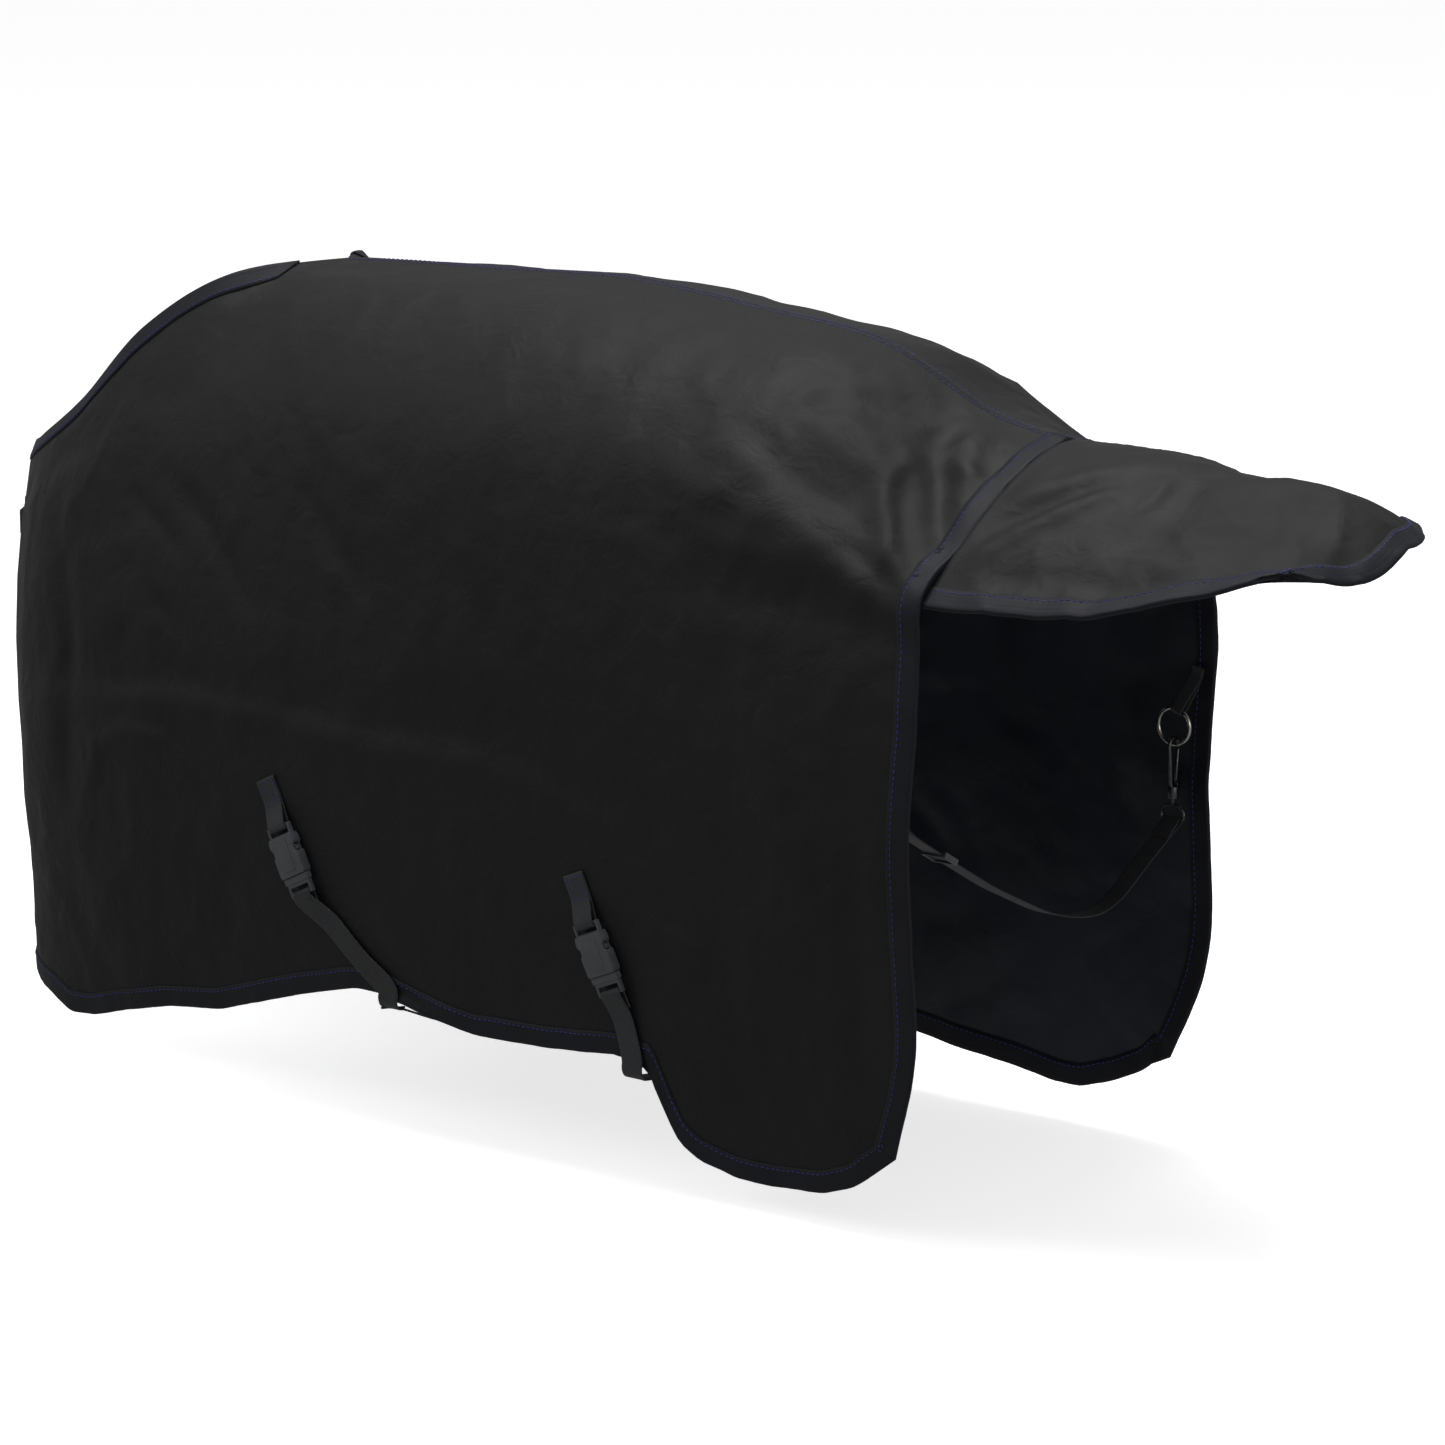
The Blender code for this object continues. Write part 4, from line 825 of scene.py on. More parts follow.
@dataclass
class Tape:
    """A binding tape folded over an edge of a surface, with its two rows of stitches."""

    name: str
    surface: Surface
    lift: float = 0.0
    seed: float = 0.0
    side: int = 0
    made: list[bpy.types.Object] = field(default_factory=list)

    def spots(self, edge: list[tuple[float, float, float, float]],
              corners: dict[int, Spot]) -> list[Spot]:
        """Edge and inner grid places at every station.

        Args:
            edge: for each station, its grid place and the grid direction that leads inward.
            corners: whole stations to use as they are, by position in the list.

        Returns:
            Grid places (u, v) on the edge and (u, v) at the tape's inner line.
        """
        u = np.array([e[0] for e in edge])
        v = np.array([e[1] for e in edge])
        pts, _ = self.surface.at(u, v)
        run = np.gradient(pts, axis=0)
        out: list[Spot] = []
        for k, (a, b, da, db) in enumerate(edge):
            if k in corners:
                out.append(corners[k])
                continue
            near = self.surface.inner_end(a, b, da, db, TAPE_W)
            p, _ = self.surface.at(np.array([near[0]]), np.array([near[1]]))
            d = p[0] - pts[k]
            sine = np.linalg.norm(np.cross(d, run[k]))
            sine /= max(np.linalg.norm(d) * np.linalg.norm(run[k]), 1e-9)
            reach = TAPE_W * min(1 / max(sine, 0.1), 1.7)
            out.append((a, b, *self.surface.inner_end(a, b, da, db, reach)))
        return out

    def sample(self, spots: list[Spot], share: float) -> tuple[np.ndarray, np.ndarray]:
        """Points and normals at a share of the way in from the edge."""
        s = np.array(spots)
        return self.surface.at(s[:, 0] + (s[:, 2] - s[:, 0]) * share,
                               s[:, 1] + (s[:, 3] - s[:, 1]) * share)

    def build(self, spots: list[Spot], corners: dict[int, Spot],
              finishes: Finishes) -> list[bpy.types.Object]:
        """Makes the tape and its stitches.

        Args:
            spots: stations from spots().
            corners: the stations that are mitred corners.
            finishes: the rug's materials.

        Returns:
            The tape, then the outer and inner rows of stitches.
        """
        a = OUTER_T + 0.0004 + self.lift
        c = LINING_T + 0.0004 + self.lift
        edge, n = self.sample(spots, 0.0)
        inner, _ = self.sample(spots, 1.0)
        run = np.gradient(edge, axis=0)
        run /= np.maximum(np.linalg.norm(run, axis=1, keepdims=True), 1e-9)
        out = np.cross(run, n)
        out *= np.sign((out * (edge - inner)).sum(1, keepdims=True) + 1e-12)
        out /= np.maximum(np.linalg.norm(out, axis=1, keepdims=True), 1e-9)
        for k in corners:
            out[k] = (edge - inner)[k] / max(np.linalg.norm((edge - inner)[k]), 1e-9) * 1.3
        pucker = 0.00035 * soft_noise(edge, 0.016, self.seed + 3.1)[:, None]
        rings = []
        across = []
        for share, thick in ((1.0, 0.6), (0.75, 1.0), (0.4, 1.05), (0.12, 1.05), (0.0, 1.05)):
            p, pn = self.sample(spots, share)
            rings.append(p + pn * (a + TAPE_T * thick + pucker))
            across.append(TAPE_W * share)
        radius = (a + c) / 2 + TAPE_T
        for deg in (62, 31, 0, -31, -62):
            t = math.radians(deg)
            rings.append(edge + out * (0.0006 + (radius + pucker) * math.cos(t) * 0.85)
                         + n * ((a - c) / 2 + radius * math.sin(t)))
            across.append(-0.0015 * deg / 31)
        for share, thick in ((0.0, 1.05), (0.12, 1.05), (0.4, 1.05), (0.75, 1.0), (1.0, 0.6)):
            p, pn = self.sample(spots, share)
            rings.append(p - pn * (c + TAPE_T * thick + pucker))
            across.append(-TAPE_W * share)
        for share, height in ((1.0, -c), (0.3, -c), (0.0, -c), (0.0, a), (0.3, a), (1.0, a)):
            p, pn = self.sample(spots, share)
            rings.append(p + pn * height)
            across.append(TAPE_W * share)
        body = np.stack(rings, axis=1)
        if self.side:
            body[..., 1] = self.side * np.maximum(body[..., 1] * self.side, 0.00015)
        tape = swept(self.name, body, across)
        finishes.dress(tape, "binding_tape")
        self.made = [tape]
        for word, sign, height in (("outer", 1, a), ("inner", -1, c)):
            p, pn = self.sample(spots, 0.80)
            row = stitched(f"{self.name}_{word}_stitches",
                           p + pn * (sign * (height + TAPE_T * 0.92)), pn * sign)
            self.made.append(finishes.dress(row, "thread"))
        return self.made


class PanelHalf:
    """One half of the rug: outer cloth, lining, three bindings and the back seam's stitches."""

    def __init__(self, side: Side, cad: BVHTree, columns: int = 261, rows: int = 112) -> None:
        """Lays the half out.

        Args:
            side: which half.
            cad: search tree of the half's outer panel in the frame, in layout coordinates.
            columns: grid columns from the rear edge to the chest edge.
            rows: grid rows from the top edge to the hem.
        """
        self.side = side
        self.cad = cad
        self.columns = columns
        self.rows = rows
        table = np.array(HEM_LEFT if side is Side.LEFT else HEM_RIGHT)[::-1]
        fine = np.linspace(-1.56, 0.02, 791)
        kernel = np.hanning(15)
        height = np.pad(np.interp(fine, table[:, 0], table[:, 1]), 7, mode="edge")
        self.hem = np.stack([fine, np.convolve(height, kernel / kernel.sum(), "valid")], axis=1)
        self.surface = self._surface()
        self.pieces: list[bpy.types.Object] = []

    def _column(self, t: float) -> np.ndarray:
        """Points of one column from the top edge to the hem."""
        hem = self.hem
        controls = curve_through(STATIONS, t)
        fine = np.array([curve_through(controls, k / 12) for k in range(12 * 7 + 1)])
        fine[:, 1] = np.maximum(fine[:, 1], HALF_GAP)
        above = fine[:, 2] - np.interp(fine[:, 0], hem[:, 0], hem[:, 1])
        low = np.nonzero((above < 0) & (fine[:, 2] < 0.3))[0]
        k = int(low[0]) if len(low) else len(fine) - 1
        share = above[k - 1] / (above[k - 1] - above[k]) if len(low) else 1.0
        fine = np.vstack([fine[:k], fine[k - 1] + (fine[k] - fine[k - 1]) * share])
        far = np.concatenate([[0], np.cumsum(np.linalg.norm(np.diff(fine, axis=0), axis=1))])
        goal = np.linspace(0, far[-1], self.rows)
        return np.stack([np.interp(goal, far, fine[:, c]) for c in range(3)], axis=1)

    def _outward(self, grid: np.ndarray) -> np.ndarray:
        """Direction away from the horse at each point."""
        return np.stack([grid[..., 0] + 0.75, grid[..., 1] * 3, grid[..., 2] - 0.45], axis=-1)

    def _surface(self) -> Surface:
        """The draped middle surface of the half."""
        stations = np.linspace(0, len(STATIONS) - 1, self.columns)
        grid = np.stack([self._column(float(t)) for t in stations])
        grid[..., 1] *= self.side.value
        normals = grid_normals(grid, self._outward)
        flat = grid.reshape(-1, 3)
        x, z = flat[:, 0], flat[:, 2]
        v = np.tile(np.linspace(0, 1, self.rows), self.columns)
        lift = np.zeros(len(flat))
        for fold in FOLDS[self.side]:
            lift += fold.lift(x, z)
        seed = 2.0 if self.side is Side.LEFT else 9.0
        lift += 0.0060 * soft_noise(flat, 0.30, seed) * smooth_step(v, 0.15, 0.9)
        lift += 0.0024 * soft_noise(flat * np.array([1, 1, 0.55]), 0.085, seed + 5)
        lift += 0.0009 * soft_noise(flat, 0.030, seed + 11)
        corner = np.exp(-(((x + 0.10) / 0.20) ** 2 + ((z - 0.78) / 0.13) ** 2))
        lift += 0.0058 * crumple(flat, 0.075, seed + 17) * corner
        lift += 0.0016 * crumple(flat, 0.110, seed + 23)
        top = v * np.linalg.norm(grid[:, -1] - grid[:, 0], axis=1).repeat(self.rows)
        lift *= smooth_step(top, 0.0, 0.07)
        moved = flat + normals.reshape(-1, 3) * lift[:, None]
        moved = self._settle(moved, normals.reshape(-1, 3))
        moved[:, 1] = self.side.value * np.maximum(moved[:, 1] * self.side.value, HALF_GAP)
        grid = moved.reshape(grid.shape)
        return Surface(grid, grid_normals(grid, self._outward))

    def _settle(self, points: np.ndarray, normals: np.ndarray) -> np.ndarray:
        """Brings the cloth onto the frame's panel wherever a fitting is sewn to it."""
        near = np.zeros(len(points))
        for path, radius in ANCHORS[self.side]:
            pts = np.array(path)
            far = np.full(len(points), 1e9)
            for p, q in zip(pts, pts[1:]):
                d = q - p
                u = np.clip(((points[:, 0] - p[0]) * d[0] + (points[:, 2] - p[1]) * d[1])
                            / (d @ d), 0, 1)
                far = np.minimum(far, np.hypot(points[:, 0] - p[0] - u * d[0],
                                               points[:, 2] - p[1] - u * d[1]))
            near = np.maximum(near, 1 - smooth_step(far, radius * 0.55, radius * 1.5))
        for k in np.nonzero(near > 0.001)[0]:
            n = Vector(normals[k])
            hit = self.cad.ray_cast(Vector(points[k]) + n * 0.04, -n, 0.09)[0]
            if hit is not None:
                goal = np.array(hit - n * (OUTER_T + HALF_GAP))
                points[k] += (goal - points[k]) * near[k]
        return points

    def _edge(self, edge: Edge) -> tuple[list[tuple[float, float, float, float]], dict[int, Spot]]:
        """Stations of one bound edge, with its corner if it has one."""
        last_u, last_v = float(self.columns - 1), float(self.rows - 1)
        find = self.surface.inner_end
        rear = (0.0, last_v, find(0.0, last_v, 1.0, 0.0, TAPE_W)[0],
                find(0.0, last_v, 0.0, -1.0, TAPE_W)[1])
        chest = (last_u, last_v, find(last_u, last_v, -1.0, 0.0, TAPE_W)[0],
                 find(last_u, last_v, 0.0, -1.0, TAPE_W)[1])
        if edge is Edge.REAR:
            stations = [(0.0, float(j), 1.0, 0.0) for j in range(self.rows) if j < rear[3]]
            return stations + [(0.0, last_v, 1.0, -1.0)], {len(stations): rear}
        if edge is Edge.HEM:
            stations = [(float(u), last_v, 0.0, -1.0) for u in range(self.columns)
                        if rear[2] < u < chest[2]]
            first, last = [(0.0, last_v, 1.0, -1.0)], [(last_u, last_v, -1.0, -1.0)]
            return first + stations + last, {0: rear, len(stations) + 1: chest}
        down = find(last_u, 0.0, 0.0, 1.0, TAPE_W)[1]
        back = find(last_u, 0.0, -1.0, 0.0, TAPE_W)[0]
        start = self.columns * (ROOF_STATIONS + NECK_TAPE_START) / len(STATIONS[1:])
        rising = [(last_u, float(j), -1.0, 0.0) for j in range(self.rows - 1, -1, -1)
                  if down < j < chest[3]]
        neck = [(float(u), 0.0, 0.0, 1.0)
                for u in range(self.columns - 1, int(start), -1) if u < back]
        stations = [(last_u, last_v, -1.0, -1.0)] + rising + [(last_u, 0.0, -1.0, 1.0)] + neck
        return stations, {0: chest, len(rising) + 1: (last_u, 0.0, back, down)}

    def build(self, finishes: Finishes) -> list[bpy.types.Object]:
        """Makes and dresses the half's pieces.

        Args:
            finishes: the rug's materials.

        Returns:
            Every piece of the half, the two cloths first.
        """
        word = self.side.word
        grid, normals = self.surface.grid, self.surface.normals
        outer = shell(f"{word}_outer_cloth", grid, normals, HALF_GAP, HALF_GAP + OUTER_T)
        lining = shell(f"{word}_lining_cloth", grid, normals, -HALF_GAP - LINING_T, -HALF_GAP)
        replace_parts(finishes.dress(outer, "outer_cloth"), f"{word}_outer_panel")
        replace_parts(finishes.dress(lining, "lining_cloth"), f"{word}_lining")
        self.pieces = [outer, lining]
        for k, edge in enumerate(Edge):
            tape = Tape(f"{word}_{edge.value}_tape", self.surface, seed=k + 5.0 * self.side.value,
                        lift=0.0004 if edge is Edge.FRONT else 0.0, side=self.side.value)
            stations, corners = self._edge(edge)
            made = tape.build(tape.spots(stations, corners), corners, finishes)
            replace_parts(made[0], f"{word}_{edge.value}_binding")
            self.pieces += made
        self.pieces.append(self._seam(finishes))
        for piece in self.pieces:
            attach(piece, "rug")
            LOG.info("%s: %d faces", piece.name, len(piece.data.polygons))
        return self.pieces

    def _seam(self, finishes: Finishes) -> bpy.types.Object:
        """The row of stitches beside the seam along the back."""
        count = int(self.columns * ROOF_STATIONS / (len(STATIONS) - 1))
        u = np.arange(6, count, 1.0)
        v = np.array([self.surface.inner_end(float(k), 0.0, 0.0, 1.0, 0.006)[1] for k in u])
        p, n = self.surface.at(u, v)
        row = stitched(f"{self.side.word}_seam_stitches", p + n * (OUTER_T + 0.0003), n)
        return finishes.dress(row, "thread")


class TailFlap:
    """The flap over the tail: outer cloth, lining and one binding round its free edges."""

    def __init__(self, columns: int = 84, rows: int = 109) -> None:
        """Lays the flap out.

        Args:
            columns: grid columns from the root to the tip.
            rows: grid rows from the left edge to the right.
        """
        self.columns = columns
        self.rows = rows
        self.surface = self._surface()
        self.pieces: list[bpy.types.Object] = []

    @staticmethod
    def _half(s: np.ndarray) -> np.ndarray:
        """Half width at a share of the length."""
        return 0.262 * (1 - 0.44 * np.minimum(s, 1.0) ** 2.8)

    @staticmethod
    def _smooth(table: list[tuple[float, float]], x: np.ndarray) -> np.ndarray:
        """Value of a table at x, its corners rounded over 30 mm."""
        pts = np.array(table)
        fine = np.linspace(-0.05, 0.55, 601)
        value = np.interp(fine, pts[:, 0], pts[:, 1])
        kernel = np.hanning(41)
        padded = np.pad(value, 20, mode="edge")
        return np.interp(x, fine, np.convolve(padded, kernel / kernel.sum(), "valid"))

    def _surface(self) -> Surface:
        """The flap's middle surface."""
        s, t = np.meshgrid(np.linspace(0, 1, self.columns), np.linspace(-1, 1, self.rows),
                           indexing="ij")
        x = FLAP_ROOT + s * (0.440 - 0.085 * np.abs(t) ** 2.6 - 0.030 * s * t)
        y = t * self._half(s)
        share = np.maximum((x - FLAP_ROOT) / 0.440, 0)
        side = np.minimum(np.abs(y) / self._half(share), 1.15)
        z = self._smooth(FLAP_CROWN, x) - self._smooth(FLAP_DROP, x) * side ** (1.7 - 0.4 * share)
        grid = np.stack([x, y, z], axis=2)
        normals = grid_normals(grid, upwards)
        lift = np.zeros(x.shape)
        for fold in FLAP_FOLDS:
            lift += fold.lift(x, y)
        flat = grid.reshape(-1, 3)
        lift += 0.0036 * soft_noise(flat, 0.13, 4.0).reshape(x.shape)
        lift += 0.0011 * soft_noise(flat, 0.040, 7.0).reshape(x.shape)
        lift += 0.0030 * crumple(flat, 0.090, 13.0).reshape(x.shape)
        lift *= smooth_step(s, 0.0, 0.10)
        grid = grid + normals * lift[..., None]
        return Surface(grid, grid_normals(grid, upwards))

    def _edge(self) -> tuple[list[tuple[float, float, float, float]], dict[int, Spot]]:
        """Stations from the left root round the tip to the right root."""
        last_u, last_v = float(self.columns - 1), float(self.rows - 1)
        find = self.surface.inner_end
        back_l = find(last_u, 0.0, -1.0, 0.0, TAPE_W)[0]
        in_l = find(last_u, 0.0, 0.0, 1.0, TAPE_W)[1]
        back_r = find(last_u, last_v, -1.0, 0.0, TAPE_W)[0]
        in_r = find(last_u, last_v, 0.0, -1.0, TAPE_W)[1]
        left = [(float(u), 0.0, 0.0, 1.0) for u in range(self.columns) if u < back_l]
        tip = [(last_u, float(v), -1.0, 0.0) for v in range(self.rows) if in_l < v < in_r]
        right = [(float(u), last_v, 0.0, -1.0)
                 for u in range(self.columns - 1, -1, -1) if u < back_r]
        stations = left + [(last_u, 0.0, -1.0, 1.0)] + tip + [(last_u, last_v, -1.0, -1.0)] + right
        corners = {len(left): (last_u, 0.0, back_l, in_l),
                   len(left) + 1 + len(tip): (last_u, last_v, back_r, in_r)}
        return stations, corners

    def build(self, finishes: Finishes) -> list[bpy.types.Object]:
        """Makes and dresses the flap's pieces.

        Args:
            finishes: the rug's materials.

        Returns:
            Every piece of the flap, the two cloths first.
        """
        grid, normals = self.surface.grid, self.surface.normals
        outer = shell("tail_flap_outer_cloth", grid, normals, HALF_GAP, HALF_GAP + OUTER_T)
        lining = shell("tail_flap_lining_cloth", grid, normals, -HALF_GAP - LINING_T, -HALF_GAP)
        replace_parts(finishes.dress(outer, "outer_cloth"), "tail_flap_outer")
        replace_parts(finishes.dress(lining, "lining_cloth"), "tail_flap_lining")
        tape = Tape("tail_flap_tape", self.surface, lift=0.0002, seed=21.0)
        stations, corners = self._edge()
        made = tape.build(tape.spots(stations, corners), corners, finishes)
        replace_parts(made[0], "tail_flap_binding")
        self.pieces = [outer, lining] + made
        for piece in self.pieces:
            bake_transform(piece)
            LOG.info("%s: %d faces", piece.name, len(piece.data.polygons))
        return self.pieces


# ---------------------------------------------------------------- webbing


@dataclass(frozen=True)
class WebRun:
    """One length of webbing: its line and the direction of its width along it."""

    name: str
    width: float
    path: list[tuple[float, float, float]]
    across: list[tuple[float, float, float]]

    def _lines(self, cloth: list[BVHTree]) -> tuple[np.ndarray, np.ndarray, np.ndarray]:
        """Smoothed line, width directions and face directions, clear of the cloth."""
        pts = np.array(self.path)
        wid = np.array(self.across if len(self.across) > 1 else self.across * len(pts))
        per = 5
        t = np.linspace(0, len(pts) - 1, per * (len(pts) - 1) + 1)
        line = np.array([curve_through(pts, float(k)) for k in t])
        wide = np.array([curve_through(wid, float(k)) for k in t])
        run = np.gradient(line, axis=0)
        run /= np.maximum(np.linalg.norm(run, axis=1, keepdims=True), 1e-9)
        wide -= run * (wide * run).sum(1, keepdims=True)
        wide /= np.maximum(np.linalg.norm(wide, axis=1, keepdims=True), 1e-9)
        need = WEB_T / 2 + 0.0005
        for k, p in enumerate(line):
            push = Vector((0, 0, 0))
            for tree in cloth:
                for share in (-0.45, 0.0, 0.45):
                    spot = Vector(p + wide[k] * (self.width * share))
                    hit, n, _, far = tree.find_nearest(spot, 0.03)
                    if hit is None:
                        continue
                    height = (spot - hit).dot(n)
                    if height < need and abs(height) < 0.012:
                        step = n * (need - height)
                        if step.length > push.length:
                            push = step
            line[k] = np.array(Vector(p) + push)
        for _ in range(2):
            line[1:-1] = (line[:-2] + 2 * line[1:-1] + line[2:]) / 4
        return line, wide, np.cross(run, wide)

    def build(self, finishes: Finishes, cloth: list[BVHTree]) -> bpy.types.Object:
        """Makes the webbing.

        Args:
            finishes: the rug's materials.
            cloth: search trees of the cloth it lies on.

        Returns:
            The dressed piece, riding on the rug.
        """
        line, wide, face = self._lines(cloth)
        half, thick = self.width / 2, WEB_T / 2
        section = [(-half, 0.0), (-half + 0.0005, thick * 0.85), (-half + 0.0022, thick * 1.04),
                   (-half / 2, thick), (0.0, thick), (half / 2, thick), (half - 0.0022, thick * 1.04),
                   (half - 0.0005, thick * 0.85), (half, 0.0)]
        section += [(x, -y) for x, y in reversed(section[1:-1])]
        rings = np.stack([line + wide * x + face * y for x, y in section], axis=1)
        piece = swept(self.name + "_webbing", rings, [x for x, _ in section])
        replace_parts(finishes.dress(piece, "webbing"), self.name)
        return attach(piece, "rug")

    def sewn_box(self, finishes: Finishes, cloth: list[BVHTree], top: bool) -> bpy.types.Object:
        """A box of stitches where the webbing is sewn down, 28 mm long, on its outer face."""
        line, wide, face = self._lines(cloth)
        far = np.concatenate([[0], np.cumsum(np.linalg.norm(np.diff(line, axis=0), axis=1))])
        reach = np.interp([0.004, 0.032], far if top else far[-1] - far[::-1], np.arange(len(far)))
        if not top:
            reach = len(far) - 1 - reach
        a, b = sorted(reach)
        inset = self.width / 2 - 0.003
        corners = [(a, -inset), (b, -inset), (b, inset), (a, inset), (a, -inset), (b, inset)]
        idx, off = [], []
        for (p, x), (q, y) in zip(corners, corners[1:]):
            steps = np.linspace(0, 1, 14)
            idx += list(p + (q - p) * steps)
            off += list(x + (y - x) * steps)
        order = np.arange(len(line))

        def pick(rows: np.ndarray) -> np.ndarray:
            return np.stack([np.interp(idx, order, rows[:, c]) for c in range(3)], axis=1)

        middle, w, n = pick(line), pick(wide), pick(face)
        mean = middle.mean(axis=0)
        sign = 1.0
        if cloth:
            hit, normal, _, _ = cloth[0].find_nearest(Vector(mean))
            if hit is not None:
                sign = 1.0 if float(np.dot(n.mean(axis=0), np.array(normal))) > 0 else -1.0
        path = middle + w * np.array(off)[:, None] + n * (sign * WEB_T / 2)
        word = "head" if top else "foot"
        row = stitched(f"{self.name}_{word}_stitches", path, n * sign, length=0.0030, pitch=0.0044,
                       thick=0.0008)
        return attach(finishes.dress(row, "thread"), "rug")


# ---------------------------------------------------------------- fittings


class Fittings:
    """Buckles, slider, ring, hook and sewn patches, with their edges broken as moulded or cast."""

    def __init__(self, frame: dict[str, Any], finishes: Finishes) -> None:
        """Keeps the frame and the materials."""
        self.frame = frame
        self.finishes = finishes
        bodies = frame["record"]["behaviour"]["bodies"]
        self.body = {node: body for body, nodes in bodies.items() for node in nodes}

    def _rounded(self, node: str, slot: str, edge: float, sharp: float) -> bpy.types.Object:
        """A copy of a CAD node with its edges rounded.

        Args:
            node: the CAD node.
            slot: material slot.
            edge: rounding in metres.
            sharp: edges below this angle, in degrees, stay soft.

        Returns:
            The piece, riding on the node's body in its place.
        """
        mesh = self.frame["nodes"][node].data.copy()
        obj = bpy.data.objects.new(f"{node}_body", mesh)
        bpy.context.scene.collection.objects.link(obj)
        bm = bmesh.new()
        bm.from_mesh(mesh)
        bmesh.ops.remove_doubles(bm, verts=bm.verts[:], dist=1e-6)
        bmesh.ops.dissolve_limit(bm, angle_limit=math.radians(2), verts=bm.verts[:],
                                 edges=bm.edges[:])
        edges = [e for e in bm.edges
                 if len(e.link_faces) == 2 and e.calc_face_angle(0.0) > math.radians(sharp)]
        if edges:
            bmesh.ops.bevel(bm, geom=edges, offset=edge, offset_type="OFFSET", segments=2,
                            profile=0.5, affect="EDGES", clamp_overlap=True)
        bmesh.ops.recalc_face_normals(bm, faces=bm.faces[:])
        bm.to_mesh(mesh)
        bm.free()
        mesh.polygons.foreach_set("use_smooth", [True] * len(mesh.polygons))
        mesh.set_sharp_from_angle(angle=math.radians(max(sharp, 30)))
        mesh.update()
        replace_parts(self.finishes.dress(obj, slot), node)
        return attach(obj, self.body[node])

    def _ring(self) -> bpy.types.Object:
        """The round ring, bent from 5 mm wire and welded."""
        low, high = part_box("tail_ring")
        centre = (low + high) / 2
        wire = (high.y - low.y) / 2
        radius = (high.z - low.z) / 2 - wire
        a = np.linspace(0, 2 * math.pi, 96, endpoint=False)
        b = np.linspace(0, 2 * math.pi, 20, endpoint=False)
        out = np.stack([np.cos(a), np.zeros(96), np.sin(a)], axis=1)
        rings = (np.array(centre + ORIGIN) + out[:, None] * (radius + wire * np.cos(b))[None, :, None]
                 + np.array([0.0, 1.0, 0.0]) * (wire * np.sin(b))[None, :, None])
        piece = swept("tail_ring_wire", rings, [wire * v for v in b], closed=True)
        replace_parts(self.finishes.dress(piece, "nickel_plate"), "tail_ring")
        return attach(piece, self.body["tail_ring"])

    def build(self) -> list[bpy.types.Object]:
        """Makes every fitting.

        Returns:
            The pieces.
        """
        made = [self._ring()]
        for node in sorted(self.body):
            if "buckle" in node:
                made.append(self._rounded(node, "buckle_plastic", 0.0007, 35))
            elif node == "tail_strap_slider":
                made.append(self._rounded(node, "buckle_plastic", 0.0005, 35))
            elif node.startswith("snap_hook"):
                made.append(self._rounded(node, "darker_hook_plate", 0.0004, 60))
            elif node.endswith("_patch"):
                made.append(self._rounded(node, "outer_cloth", 0.0004, 35))
        for piece in made:
            LOG.info("%s: %d faces", piece.name, len(piece.data.polygons))
        return made


# ---------------------------------------------------------------- where things lie


